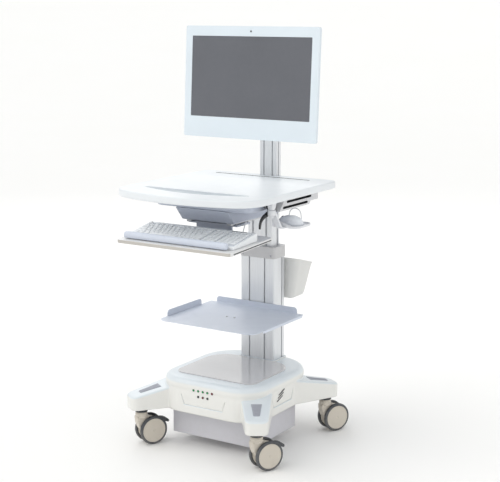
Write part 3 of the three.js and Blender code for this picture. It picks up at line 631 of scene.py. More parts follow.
def cut_in_cells(piece, step=45.0):
    """Divides large flat faces along an even grid, so that no face is a long sliver."""
    bm = bmesh.new()
    bm.from_mesh(piece.data)
    low = [min(v.co[k] for v in bm.verts) for k in (0, 1)]
    high = [max(v.co[k] for v in bm.verts) for k in (0, 1)]
    for axis, direction in ((0, (1, 0, 0)), (1, (0, 1, 0))):
        place = low[axis] + step / 2000
        while place < high[axis]:
            spot = Vector((place if axis == 0 else 0, place if axis == 1 else 0, 0))
            bmesh.ops.bisect_plane(bm, geom=bm.verts[:] + bm.edges[:] + bm.faces[:], dist=1e-6,
                                   plane_co=spot, plane_no=direction)
            place += step / 1000
    bm.to_mesh(piece.data)
    bm.free()


def level_faces(piece):
    """Bakes the piece and keeps its horizontal faces shaded as true planes."""
    bpy.context.view_layer.update()
    bake(piece)
    mesh = piece.data
    if "custom_normal" in mesh.attributes:
        mesh.attributes.remove(mesh.attributes["custom_normal"])
    for face in mesh.polygons:
        face.use_smooth = abs(face.normal.z) < 0.999


def settle(piece, body, material, nodes=(), edge=0.0, segments=3, smooth=True):
    """Finish, rounding, body and frame nodes of a made piece."""
    piece.data.materials.clear()
    for m in (material if isinstance(material, (list, tuple)) else [material]):
        piece.data.materials.append(m)
    piece.data.polygons.foreach_set("use_smooth", [smooth] * len(piece.data.polygons))
    if edge:
        round_edges(piece, edge, segments)
    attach(piece, body)
    if nodes:
        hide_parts(*nodes)
    return piece


def make(name, bm, body, material, nodes=(), edge=0.0, segments=3, smooth=True, matrix=None):
    piece = raw_object(name, to_mesh(bm, name, matrix))
    return settle(piece, body, material, nodes, edge, segments, smooth)


def dress(node, material, edge=0.0):
    """A frame node that keeps its shape: its finish, and softened edges."""
    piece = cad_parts[node]
    piece.data.materials.clear()
    piece.data.materials.append(material)
    if edge:
        weld = piece.modifiers.new("weld", "WELD")
        weld.merge_threshold = 0.00001
        round_edges(piece, edge, 2, 40)
    return piece


def screw(name, body, direction, place, radius=4.0, matrix=None):
    """Button-head screw with a round socket."""
    bm = fresh()
    dome = [(0, -1.5), (radius, -1.5), (radius, 0.6), (radius * 0.8, 1.7), (radius * 0.5, 2.2)]
    socket = [(radius * 0.45, 2.2), (radius * 0.42, 0.9), (0, 0.9)]
    turned(bm, dome + socket, facing(direction, place), 24)
    return make(name, bm, body, finish("steel"), matrix=matrix)


# ------------------------------------------------------------------ camera, light and floor
def build_camera():
    data = bpy.data.cameras.new("cart_camera")
    camera = raw_object("cart_camera", data)
    camera.location = at(2240.6, -3432.8, 1483.0)
    camera.rotation_euler = (math.radians(90 - 10.88), 0, math.radians(32.39))
    data.sensor_width = 36
    data.lens = 88.9
    data.clip_end = 400
    bpy.context.scene.camera = camera


def area_light(name, place, aim, width, power, colour):
    data = bpy.data.lights.new(name, "AREA")
    data.shape = "SQUARE"
    data.size = width
    data.energy = power
    data.color = colour
    light = raw_object(name, data)
    light.location = place
    light.rotation_euler = (Vector(aim) - Vector(place)).to_track_quat("-Z", "Y").to_euler()


def sun(name, direction, strength, spread, colour):
    data = bpy.data.lights.new(name, "SUN")
    data.energy = strength
    data.angle = math.radians(spread)
    data.color = colour
    light = raw_object(name, data)
    light.rotation_euler = Vector(direction).to_track_quat("-Z", "Y").to_euler()


def build_stage():
    """Floor that rises very gently far away, so that it fills the view."""
    bm = fresh()
    rings = [0, 2, 4, 7, 10, 12, 14, 16, 18, 20, 23, 26, 30, 34, 38, 42]
    turns = 96
    rows = []
    for radius in rings[1:]:
        rise = max(0.0, radius - 10) ** 2 / 60
        rows.append([bm.verts.new((radius * 1000 * math.cos(2 * math.pi * i / turns),
                                   radius * 1000 * math.sin(2 * math.pi * i / turns), rise * 1000))
                     for i in range(turns)])
    bm.faces.new(rows[0])
    for near, far in zip(rows, rows[1:]):
        for i in range(turns):
            j = (i + 1) % turns
            bm.faces.new((near[i], far[i], far[j], near[j]))
    stage = raw_object("studio_floor", to_mesh(bm, "studio_floor"))
    stage.data.polygons.foreach_set("use_smooth", [True] * len(stage.data.polygons))
    material, tree, shader = bare_material("studio_paper")
    place = tree.nodes.new("ShaderNodeTexCoord")
    cloud = noise(tree, 0.8, 2.0)
    tree.links.new(place.outputs["Object"], cloud.inputs["Vector"])
    body = blend_colours(tree, remap(tree, cloud.outputs["Fac"], 0.0, 1.0),
                         (0.99, 0.98, 0.965, 1), (0.985, 0.975, 0.955, 1))
    tree.links.new(body, shader.inputs["Base Color"])
    shader.inputs["Roughness"].default_value = 0.95
    stage.data.materials.append(material)
    world = bpy.data.worlds.new("studio_air")
    bpy.context.scene.world = world
    world.use_nodes = True
    air = world.node_tree.nodes["Background"]
    air.inputs["Color"].default_value = (0.965, 0.985, 1.0, 1)
    air.inputs["Strength"].default_value = 0.70
    sun("key_light", (0.55, 0.62, -1.25), 0.92, 50, (1.0, 0.99, 0.97))
    sun("fill_light", (-1.0, 0.35, -0.75), 0.24, 70, (0.95, 0.98, 1.0))
    area_light("shine_light", (-2.6, 2.9, 3.0), (0, 0, 0.4), 2.4, 24, (1.0, 1.0, 1.0))
    bpy.context.scene.view_settings.view_transform = "Standard"


# ------------------------------------------------------------------ cords
KEYBOARD_LEAD = [(148, -182.8, 764), (148, -176, 768), (147.5, -168, 780), (146, -160, 790), (141, -148, 795),
                 (133, -134, 794), (124, -120, 788), (115, -110, 781), (107, -106, 776), (96.6, -105, 773.8)]
MOUSE_LEAD = [(200.4, 21.5, 792), (199, 25.5, 795), (198, 30, 802), (199, 33, 811), (205, 35, 818),
              (214, 36, 821.5), (223, 37, 820.5), (231, 38, 816), (235.5, 39, 808), (237, 40, 798),
              (237.5, 41, 786), (237.5, 42, 772.6)]


def through(points, count):
    """Even points on a smooth curve through the given points."""
    dense = []
    last = len(points) - 1
    for i in range(last):
        a, b = Vector(points[i]), Vector(points[i + 1])
        before = Vector(points[i - 1]) if i else 2 * a - b
        after = Vector(points[i + 2]) if i + 2 <= last else 2 * b - a
        for k in range(12):
            t = k / 12
            dense.append(0.5 * ((2 * a) + (b - before) * t + (2 * before - 5 * a + 4 * b - after) * t * t
                                + (3 * a - before - 3 * b + after) * t ** 3))
    dense.append(Vector(points[last]))
    lengths = [0.0]
    for p, q in zip(dense, dense[1:]):
        lengths.append(lengths[-1] + (q - p).length)
    spaced = []
    k = 0
    for i in range(count):
        goal = lengths[-1] * i / (count - 1)
        while k < len(lengths) - 2 and lengths[k + 1] < goal:
            k += 1
        share = (goal - lengths[k]) / (lengths[k + 1] - lengths[k])
        spaced.append(dense[k].lerp(dense[k + 1], share))
    return spaced


def build_cord(name, route, diameter, body, node):
    """A lead along its route; both of its ends go into the cart's own pieces."""
    points = [at(*p) for p in through(route, 24)]
    data = bpy.data.curves.new(name, "CURVE")
    data.dimensions = "3D"
    data.bevel_depth = diameter / 2000
    data.bevel_resolution = 3
    data.use_fill_caps = True
    line = data.splines.new("POLY")
    line.points.add(len(points) - 1)
    for target, p in zip(line.points, points):
        target.co = (*p, 1)
    data.materials.append(finish("cable"))
    cord = raw_object(name, data)
    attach(cord, body)
    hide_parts(node)


# ------------------------------------------------------------------ base
HOOD_HALF_WIDTH = 200
HOOD_FRONT = -195
HOOD_REAR = 235


def hood_outline(inset=0.0):
    outline = rounded(-HOOD_HALF_WIDTH, HOOD_HALF_WIDTH, HOOD_FRONT, HOOD_REAR, 100, 140, 16)
    return drawn_in(outline, inset)


LEG_ROOT = Vector((154.0, 105.0))
LEG_TIP = Vector((CASTER_X, CASTER_Y))
LEG_RUN = (LEG_TIP - LEG_ROOT).normalized()
LEG_LENGTH = (LEG_TIP - LEG_ROOT).length + 44
LEG_FALL = math.atan2(40.0, LEG_LENGTH)
LEG_ROOT_TOP = HOOD_BOTTOM + 87
CORNERS = (("front_left", -1, -1), ("front_right", 1, -1), ("rear_right", 1, 1), ("rear_left", -1, 1))


def leg_outline(inset, reach):
    """Plan of a leg in the +x +y quarter, anticlockwise, with a squarish rounded tip."""
    side = Vector((-LEG_RUN.y, LEG_RUN.x))
    root_half, tip_half, corner = 58.0, 39.0, 24.0
    local = [(-40, -root_half), (reach - corner, -tip_half)]
    local += arc(reach - corner, -tip_half + corner, corner, 270, 360, 8)
    local += arc(reach - corner, tip_half - corner, corner, 0, 90, 8)
    local += [(-40, root_half)]
    local = drawn_in(tidy(local), inset)
    return [tuple(LEG_ROOT + LEG_RUN * a + side * b) for a, b in local]


def leg_top(x, y):
    return LEG_ROOT_TOP - (Vector((x, y)) - LEG_ROOT).dot(LEG_RUN) * math.tan(LEG_FALL)


def hood_blank():
    """Body with a rounded crown and four legs, all closed solids that the remesh joins."""
    bm = fresh()
    crown = sizes().hood_round * 1000
    shoulder = HOOD_TOP - crown
    levels = [(1.0, HOOD_BOTTOM), (0.0, HOOD_BOTTOM + 2), (0.0, HOOD_BOTTOM + 32),
              (2.4, shoulder - 11), (0.4, shoulder - 8)]
    for i in range(9):
        angle = math.radians(90 * i / 8)
        levels.append((crown * (1 - math.cos(angle)), shoulder + crown * math.sin(angle)))
    loft(bm, [[(x, y, level) for x, y in hood_outline(inset)] for inset, level in levels])
    for _, sx, sy in CORNERS:
        rings = []
        reach = LEG_LENGTH - (6 if sy > 0 else 0)
        for inset, drop in ((1.0, None), (0.0, 6.5), (0.6, 3.6), (2.4, 1.2), (6.0, 0.0)):
            ring = []
            for x, y in leg_outline(inset, reach):
                level = HOOD_BOTTOM if drop is None else leg_top(x, y) - drop
                ring.append((sx * x, sy * y, level))
            rings.append(ring if sx * sy > 0 else list(reversed(ring)))
        loft(bm, rings)
    return bm


def spread(corners, amount):
    """The four corners moved apart by amount."""
    middle_a = sum(a for a, _ in corners) / 4
    middle_b = sum(b for _, b in corners) / 4
    return [(a + math.copysign(amount, a - middle_a), b + math.copysign(amount, b - middle_b))
            for a, b in corners]


def build_hood():
    hood = raw_object("base_hood_cover", to_mesh(hood_blank(), "base_hood_cover"))
    remesh = hood.modifiers.new("skin", "REMESH")
    remesh.mode = "VOXEL"
    remesh.voxel_size = sizes().hood_voxel
    ease = hood.modifiers.new("ease", "SMOOTH")
    ease.factor = 0.5
    ease.iterations = 5
    bpy.context.view_layer.update()
    bake(hood)
    recesses = fresh()
    low, high = HOOD_BOTTOM + 31, HOOD_BOTTOM + 92
    front_panel = ((-76, low), (76, low), (98, high), (-98, high))
    side_panel = ((-66, low), (48, low), (70, high), (-84, high))
    loft(recesses, [[(a, HOOD_FRONT - 1.5, b) for a, b in spread(front_panel, 5)],
                    [(a, HOOD_FRONT + 2 - (b - low) * 0.04, b) for a, b in front_panel]])
    loft(recesses, [[(HOOD_HALF_WIDTH + 1.5, a, b) for a, b in spread(side_panel, 5)],
                    [(HOOD_HALF_WIDTH - 2 + (b - low) * 0.04, a, b) for a, b in side_panel]])
    carve(hood, recesses)
    lines = fresh()
    for start, end, near, far, axis in ((-76, 76, HOOD_FRONT - 4, HOOD_FRONT + 3.4, "y"),
                                        (-66, 48, HOOD_HALF_WIDTH - 3.6, HOOD_HALF_WIDTH + 3, "x")):
        crest = high - 28
        band = [(start - 13, crest), (start - 0.6, low - 1.2), (end + 0.6, low - 1.2), (end + 13, crest),
                (end + 11.2, crest), (end - 0.8, low + 0.8), (start + 0.8, low + 0.8), (start - 11.2, crest)]
        prism(lines, band, near, far, axis)
    carve(hood, lines)
    shaft = fresh()
    passage = rounded(across("outer_column", 0, 0) - 1, across("outer_column", 0, 1) + 1,
                      COLUMN_FRONT - 1, across("outer_column", 1, 1) + 1, 9, steps=4)
    prism(shaft, passage, HOOD_BOTTOM + 40, HOOD_TOP + 20)
    carve(hood, shaft)
    if len(hood.data.polygons) < 1000:
        raise RuntimeError("the base cover was lost while it was cut")
    bm = fresh()
    bm.from_mesh(hood.data)
    floor_level = at(0, 0, HOOD_BOTTOM + 2.6).z
    under = [f for f in bm.faces if f.normal.z < -0.8 and f.calc_center_median().z < floor_level]
    bmesh.ops.delete(bm, geom=under, context="FACES")
    bm.to_mesh(hood.data)
    bm.free()
    wall = hood.modifiers.new("wall", "SOLIDIFY")
    wall.thickness = 0.003
    wall.offset = -1
    settle(hood, "base", finish("hood"), ("base_hood",))
    for face in hood.data.polygons:
        if face.area > 0.00003:
            face.use_smooth = False
    # Painted shadow: three thin dark slabs set into the side wall stand for the shaded insides of vent slits.
    vent_shadows = fresh()
    for i in range(3):
        y, z = -46 + 6 * i, low + 13 + 10 * i
        prism(vent_shadows, [(y, z), (y + 36, z + 12), (y + 36, z + 15), (y, z + 3)], 197.8, 199.9, "x")
    make("base_side_vent_shadows", vent_shadows, "base", finish("dark"))


def build_base():
    build_hood()
    top = height("base_top_plate", 1)
    bm = fresh()
    prism(bm, rounded(-157, 157, -136, 137, 34, 78), HOOD_TOP - 1.5, top)
    make("base_lid_plate", bm, "base", finish("lid"), ("base_top_plate",), 1.2)
    bm = fresh()
    tube(bm, rounded(-76, 76, 138, 228, 12), rounded(-69.7, 69.7, 144.3, 222.2, 8.7),
         HOOD_TOP - 1.5, HOOD_TOP + 4.5)
    make("column_foot_frame", bm, "base", finish("hood"), edge=1.4)
    box_top = height("battery_box", 1)
    bm = fresh()
    prism(bm, rounded(-165, 165, -137, 137, 5), height("battery_box", 0), box_top)
    lower_box = raw_object("lower_box_shell", to_mesh(bm, "lower_box_shell"))
    hollow = fresh()
    block(hollow, -162.8, 162.8, -134.8, 134.8, height("battery_box", 0) + 2, box_top + 5)
    carve(lower_box, hollow)
    settle(lower_box, "base", finish("box"), ("battery_box",), 0.8, 2)
    for corner, sx, sy in CORNERS:
        centre = Vector((CASTER_X - 16, CASTER_Y - 25))
        level = leg_top(centre.x, centre.y)
        turn = math.atan2(sy * LEG_RUN.y, sx * LEG_RUN.x)
        place = (Matrix.Translation((sx * centre.x, sy * centre.y, level - 0.6))
                 @ Matrix.Rotation(turn, 4, "Z") @ Matrix.Rotation(LEG_FALL, 4, "Y"))
        bm = fresh()
        half_grip = [(-38, -18), (-8, -14.5), (33, -11), (36, -8)]
        prism(bm, half_grip + [(x, -y) for x, y in reversed(half_grip)], -2, 2.2)
        for k in range(7):
            x = -30 + 9.5 * k
            block(bm, x, x + 3, -12 + 0.8 * k, 12 - 0.8 * k, 2.0, 3.0)
        make("leg_grip_" + corner, bm, "base", finish("pad"), ("leg_pad_" + corner,), 0.9, 2,
             matrix=place)
    for node, look in (("chassis_frame", "frame"), ("battery_pack", "pack"), ("power_unit", "pack"),
                       ("power_inlet", "pack")):
        dress(node, finish(look))


def build_status_lights():
    """Five charge lights over three status lights in the front recess."""
    front = HOOD_FRONT + 0.8
    looks = (("green", (0, 1, 2, 3)), ("amber", (4, 6)), ("unlit", (5, 7)))
    places = [(-37.2 + 18.6 * i, HOOD_BOTTOM + 85) for i in range(5)]
    places += [(-18.6 + 18.6 * i, HOOD_BOTTOM + 65) for i in range(3)]
    for look, wanted in looks:
        bm = fresh()
        for k in wanted:
            x, z = places[k]
            turned(bm, [(0, 0), (2.9, 0), (2.9, 1.2), (2.2, 1.8), (0, 2.1)],
                   facing((0, -1, 0), (x, front, z)), 20)
        nodes = ("status_panel",) if look == "green" else ()
        make("status_lights_" + look, bm, "base", finish(look), nodes)
    rings = fresh()
    for x, z in places:
        outer = facing((0, -1, 0), (x, front, z))
        turned(rings, [(3.0, 0), (4.1, 0), (4.1, 0.9), (3.0, 0.9)], outer, 20)
    make("status_light_rims", rings, "base", finish("dark"))


# ------------------------------------------------------------------ column, shelf and bin
def tube(bm, outline, hole, low, high):
    """An extrusion with a through hole."""
    outline, hole = tidy(outline), tidy(hole)
    rings = []
    for points in (outline, hole):
        rings.append([[bm.verts.new((x, y, z)) for x, y in points] for z in (low, high)])
    for k, (lower, upper) in enumerate(rings):
        count = len(lower)
        for i in range(count):
            j = (i + 1) % count
            corners = (lower[i], lower[j], upper[j], upper[i])
            bm.faces.new(corners if k == 0 else tuple(reversed(corners)))
    for end in (0, 1):
        edges = []
        for ring in rings:
            level = ring[end]
            edges += [bm.edges.get((level[i], level[(i + 1) % len(level)])) for i in range(len(level))]
        bmesh.ops.triangle_fill(bm, edges=edges, use_beauty=True, use_dissolve=False)


def build_columns():
    rear = across("outer_column", 1, 1)
    bore = rounded(-50.1, 50.1, 162.4, 216.6, 2, steps=2)
    bm = fresh()
    tube(bm, slotted(69, COLUMN_FRONT, rear, 8, 31, 199, 5, 6, False), bore,
         height("outer_column", 0), height("outer_column", 1))
    make("outer_profile", bm, "base", finish("silver"), ("outer_column",), 0.5, 2)
    bm = fresh()
    tube(bm, slotted(49.5, 163, 216, 4, 27, 199, 8, 5), rounded(-36, 36, 172, 207, 2, steps=2),
         height("inner_column", 0), height("inner_column", 1))
    make("inner_profile", bm, "head", finish("silver"), ("inner_column",), 0.4, 2)
    low = height("column_collar", 0)
    bm = fresh()
    tube(bm, rounded(-71.5, 71.5, 142.5, 225.5, 13), bore, low, COLLAR_TOP)
    collar = raw_object("column_collar_cap", to_mesh(bm, "column_collar_cap"))
    socket = fresh()
    prism(socket, rounded(-69.4, 69.4, 144.6, 221.9, 8.4), low - 2, low + 30)
    carve(collar, socket)
    settle(collar, "base", finish("collar"), ("column_collar",), 3.2, 4)
    for k, x in enumerate((-57, 57)):
        screw(f"collar_screw_{k}", "base", (0, -1, 0), (x, 142.5, low + 10), 3.6)
    dress("gas_spring_body", finish("pack"))
    dress("gas_spring_rod", finish("steel"))
    dress("desk_frame", finish("frame"), 1.0)
    dress("mast_foot", finish("frame"), 1.0)
    bm = fresh()
    outline = slotted(34, 217, 248, 3, 17, 231, 4, 6)
    prism(bm, outline, height("mast", 0), height("mast", 1))
    make("mast_profile", bm, "head", finish("silver"), ("mast",), 0.4, 2)


def build_shelf():
    half = 192.0
    front, rear = -184.0, 141.0
    bm = fresh()
    outline = (arc(-half + 34, front + 34, 34, 180, 270, 12) + arc(half - 34, front + 34, 34, 270, 360, 12)
               + arc(half - 3, rear - 3, 3, 0, 90, 3) + arc(-half + 3, rear - 3, 3, 90, 180, 3))
    prism(bm, outline, SHELF_TOP - 2, SHELF_TOP)
    shelf = raw_object("shelf_sheet", to_mesh(bm, "shelf_sheet"))
    holes = fresh()
    for x in (-15.5, 15.5):
        turned(holes, [(0, -8), (2.6, -8), (2.6, 6), (0, 6)], upright(x, -24, SHELF_TOP), 20)
    carve(shelf, holes)
    settle(shelf, "base", finish("shelf"), ("shelf",), 0.7, 2)
    level_faces(shelf)
    cut_in_cells(shelf)
    rise = SHELF_TOP + 21
    back = fresh()
    outline = [(-166, SHELF_TOP - 1.5), (166, SHELF_TOP - 1.5)] + arc(154, rise - 12, 12, 0, 90, 6) \
        + arc(-154, rise - 12, 12, 90, 180, 6)
    prism(back, outline, rear - 2, rear, "y")
    bend = arc(rear - 5, SHELF_TOP + 3, 3, 270, 360, 4)
    prism(back, bend + [(rear - 0.5, SHELF_TOP + 3), (rear - 0.5, SHELF_TOP - 1), (rear - 5, SHELF_TOP - 1)],
          -164, 164, "x")
    make("shelf_back_lip", back, "base", finish("shelf"), edge=0.6, segments=2)
    left = fresh()
    outline = [(-126, SHELF_TOP - 1.5), (78, SHELF_TOP - 1.5)] + arc(66, rise - 12, 12, 0, 90, 6) \
        + arc(-112, rise - 14, 14, 90, 180, 6)
    prism(left, outline, -half, -half + 2, "x")
    make("shelf_left_lip", left, "base", finish("shelf"), edge=0.6, segments=2)
    right = fresh()
    outline = [(-120, SHELF_TOP - 9), (128, SHELF_TOP - 9), (134, SHELF_TOP - 1), (-126, SHELF_TOP - 1)]
    prism(right, outline, half - 2, half, "x")
    make("shelf_right_flange", right, "base", finish("shelf"), edge=0.5, segments=2)
    for k, x in enumerate((-15.5, 15.5)):
        screw(f"shelf_screw_{k}", "base", (0, 0, 1), (x, -24, SHELF_TOP), 4.2)
    dress("shelf_bracket", finish("silver"), 1.0)


def bin_ring(inset, share, lift):
    """One ring of the bin's wall; share runs from 0 at the foot to 1 at the raked rim."""
    drop = math.tan(math.radians(14))
    ring = []
    start = 227.9
    for x, y in rounded(-112 + inset, 112 - inset, inset, 146 - inset, 30 - min(inset, 20), steps=8):
        rim = BIN_FOOT + 148 - y * drop - 0.5
        z = BIN_FOOT + (rim - BIN_FOOT) * share + lift
        below = (BIN_FOOT + 148 - z) / 148
        ring.append((x * (1 - 0.15 * below), start + y * (1 - 0.37 * below), z))
    return ring


def build_bin():
    bm = fresh()
    outside = ((14, 0.0, 0.0), (8, 0.0, 0.8), (3, 0.0, 4.0), (0.6, 0.02, 9.0), (0, 0.12, 8.0), (0, 0.5, 0.0))
    rim = ((0, 0.94, 0.0), (-1.4, 0.955, 0.0), (-1.8, 0.985, 0.0), (-0.8, 1.0, 0.0), (1.6, 1.0, 0.0))
    inside = ((2.5, 0.98, 0.0), (2.5, 0.5, 0.0), (2.5, 0.08, 6.0), (5, 0.0, 6.5), (12, 0.0, 2.8))
    loft(bm, [bin_ring(*station) for station in outside + rim + inside])
    make("waste_bin_shell", bm, "bin", finish("bin"), ("waste_bin",))
    dress("bin_hook", finish("steel"), 0.8)


# ------------------------------------------------------------------ desktop and covers
def desk_outline():
    half, rear, corner = 271, 236, 35
    shoulder = (190, -340)
    points = [(half, -235)] + arc(half - corner, rear - corner, corner, 0, 90, 14)
    points += arc(-half + corner, rear - corner, corner, 90, 180, 14) + [(-half, -235)]
    points += bow((-half, -235), (-half, -316), (-shoulder[0], shoulder[1]), 14)
    points += bow((-shoulder[0], shoulder[1]), (0, -396), shoulder, 40)
    points += bow(shoulder, (half, -316), (half, -235), 14)
    return points


def build_desktop():
    bm = fresh()
    outline = tidy(desk_outline())
    edge = sizes().desk_edge * 1000
    rings = []
    for i in range(5):
        angle = math.radians(90 * i / 4)
        rings.append((edge * (1 - math.sin(angle)), DESK_BOTTOM + edge * (1 - math.cos(angle))))
    for i in range(5):
        angle = math.radians(90 * i / 4)
        rings.append((edge * (1 - math.cos(angle)), DESK_TOP - edge + edge * math.sin(angle)))
    loft(bm, [[(x, y, z) for x, y in drawn_in(outline, inset)] for inset, z in rings])
    desk = raw_object("desktop_board", to_mesh(bm, "desktop_board"))
    cutter = fresh()
    left, right = (-205, -226), (205, -226)
    crescent = [right] + bow(right, (196, -215), (180, -215), 6) + [(-180, -215)]
    crescent += bow((-180, -215), (-196, -215), left, 6) + bow(left, (0, -326), right, 36)[:-1]
    prism(cutter, list(reversed(crescent)), DESK_TOP - 3, DESK_TOP + 6)
    prism(cutter, rounded(-200, 186, 180, 189, 4, steps=4), DESK_TOP - 5, DESK_TOP + 6)
    block(cutter, -35, 35, 216, 250, DESK_BOTTOM - 5, DESK_TOP + 6)
    carve(desk, cutter)
    settle(desk, "head", [finish("desk"), finish("recess"), finish("dark")], ("desktop",))
    recess_level = at(0, 0, DESK_TOP - 3).z
    slot_level = at(0, 0, DESK_TOP - 5).z
    slot_walls = ((179, 181.5), (187.5, 190))
    for face in desk.data.polygons:
        face.use_smooth = abs(face.normal.z) < 0.99
        if face.normal.z > 0.9 and abs(face.center.z - recess_level) < 0.0003:
            face.material_index = 1
        # Painted shadow: the pen slot's floor and walls take the dark finish, standing for the shade down in
        # the slot.
        if face.normal.z > 0.9 and abs(face.center.z - slot_level) < 0.0003:
            face.material_index = 2
        in_slot = any(at(0, near, 0).y < face.center.y < at(0, far, 0).y for near, far in slot_walls)
        if in_slot and abs(face.normal.z) < 0.5 and face.center.z > slot_level:
            face.material_index = 2
    round_edges(desk, 0.7, 2, 50)
    level_faces(desk)
    cut_in_cells(desk)


def build_under_desk():
    cover_low = height("under_desk_cover", 0)
    cover_top = height("under_desk_cover", 1)
    bm = fresh()
    outline = tidy(rounded(-188, 188, -200, 140, 32))
    rings = [(9, cover_low), (4, cover_low + 1), (1.2, cover_low + 4), (0, cover_low + 9), (0, cover_top)]
    loft(bm, [[(x, y, z) for x, y in drawn_in(outline, inset)] for inset, z in rings])
    make("under_desk_pan", bm, "head", finish("cover"), ("under_desk_cover",))
    seam = fresh()
    prism(seam, rounded(-188.5, 188.5, -200.5, 140.4, 32.5), cover_top - 13, cover_top - 11.4)
    make("under_desk_pan_bead", seam, "head", finish("cover"), edge=0.4, segments=2)
    low = height("under_desk_housing", 0)
    bm = fresh()
    prism(bm, [(-158, low), (130, low), (130, cover_low - 0.4), (-197, cover_low - 0.4)], -104, 104, "x")
    make("under_desk_hopper", bm, "head", finish("cover"), ("under_desk_housing",), 5, 4)
    foot = height("vent_box", 0)
    outline = [(-60, cover_top), (-95, foot), (96, foot),
               (107, foot + 11), (156, foot + 11), (156, cover_top)]
    bm = fresh()
    prism(bm, list(reversed(outline)), 189, 235, "x")
    side_box = raw_object("side_box_shell", to_mesh(bm, "side_box_shell"))
    cutter = fresh()
    prism(cutter, rounded(-48, 110, foot + 23.5, foot + 30.5, 3.2, steps=4), 223, 240, "x")
    prism(cutter, rounded(-72, 86, foot + 6.5, foot + 13.5, 3.2, steps=4), 223, 240, "x")
    carve(side_box, cutter)
    settle(side_box, "head", [finish("housing"), finish("dark")], ("vent_box",))
    # Painted shadow: the faces inside the two slots take the dark finish, standing for the shade inside them.
    slots_low, slots_high = at(222, -55, foot + 5), at(233.5, 115, foot + 32)
    for face in side_box.data.polygons:
        inside = all(a < b < c for a, b, c in zip(slots_low, face.center, slots_high))
        face.material_index = 1 if inside else 0
    round_edges(side_box, 1.4, 2, 30)


def sweep(bm, path, sections):
    """Skin over (width, thickness) oval sections that follow a path in the y-z plane at x = 0."""
    rings = []
    count = 20
    for i, ((y, z), (width, thick)) in enumerate(zip(path, sections)):
        before = path[max(i - 1, 0)]
        after = path[min(i + 1, len(path) - 1)]
        run = Vector((0, after[0] - before[0], after[1] - before[1])).normalized()
        normal = Vector((0, -run.z, run.y))
        ring = []
        for k in range(count):
            angle = 2 * math.pi * k / count
            a = math.copysign(abs(math.cos(angle)) ** 0.7, math.cos(angle)) * width / 2
            b = math.copysign(abs(math.sin(angle)) ** 0.7, math.sin(angle)) * thick / 2
            ring.append(Vector((a, y, z)) + normal * b)
        rings.append(ring)
    loft(bm, rings)


def build_lever():
    middle = 199.25
    pivot_y, pivot_z = -105.0, DESK_TOP - 48
    centre = [(-3, 8), (0.5, 0), (3.5, -9), (3, -17), (-5, -24), (-17, -28), (-31, -32.5), (-41, -39),
              (-47.5, -47), (-50.5, -55), (-51.5, -62), (-52, -67)]
    girth = [(6, 10), (9.4, 15), (9.4, 16), (9.4, 15), (9.4, 13)] + [(9.4, 12.5)] * 5 + [(9.0, 11), (6, 6)]
    smooth = through([(0, y, z) for y, z in centre], 40)
    widths = through([(0, w, t) for w, t in girth], 40)
    bm = fresh()
    sweep(bm, [(p.y, p.z) for p in smooth], [(w.y, w.z) for w in widths])
    make("height_lever_bar", bm, "lever", finish("lever"), ("height_lever",),
         matrix=Matrix.Translation((middle, pivot_y, pivot_z)))
    bm = fresh()
    turned(bm, [(0, 0), (10.5, 0), (11, 0.8), (11, 4.4), (10, 5.2), (0, 5.2)],
           facing((1, 0, 0), (204.2, pivot_y + 1, pivot_z - 1)), 32)
    make("height_lever_hub", bm, "lever", finish("lever"))
    bm = fresh()
    turned(bm, [(0, 0), (9, 0), (9, 5), (8.3, 5.6), (4, 5.6), (4, 17.4), (3.4, 18), (0, 18)],
           facing((1, 0, 0), (188.4, pivot_y, pivot_z)), 32)
    make("lever_pivot_pin", bm, "head", finish("steel"), ("lever_pin",))


# ------------------------------------------------------------------ keyboard tray
TRAY_MATRIX = Matrix.Translation(TRAY_CORNER) @ Matrix.Rotation(math.radians(2.5), 4, "X")
KEY_ROWS = (
    (0.62, [1, 0.6, 1, 1, 1, 1, 0.35, 1, 1, 1, 1, 0.35, 1, 1, 1, 1], [1, 1, 1], [1, 1, 1, 1]),
    (1.0, [1] * 13 + [2], [1, 1, 1], [1, 1, 1, 1]),
    (1.0, [1.5] + [1] * 12 + [1.5], [1, 1, 1], [1, 1, 1, 1]),
    (1.0, [1.75] + [1] * 11 + [2.25], [1, 1, 1], [1, 1, 1, 1]),
    (1.0, [2.25] + [1] * 10 + [2.75], [1, 1, 1], [1, 1, 1, 1]),
    (1.0, [1.25, 1.25, 1.25, 6.25, 1.25, 1.25, 1.25, 1.25], [1, 1, 1], [1, 1, 1, 1]),
)


KEY_SPACES = (0.6, 0.35)
KEYBOARD_HALF = 208
KEYBOARD_MARGIN = 9.0


def keycap(bm, x0, x1, y0, y1, rise):
    """A keycap with tapered sides and a softened top edge."""
    rings = []
    for inset, z in ((0, 0), (0.3, rise * 0.55), (1.0, rise * 0.93), (1.8, rise)):
        cap = rounded(x0 + inset, x1 - inset, y0 + inset, y1 - inset, 1.4, steps=2)
        rings.append([(x, y, z) for x, y in cap])
    loft(bm, rings)


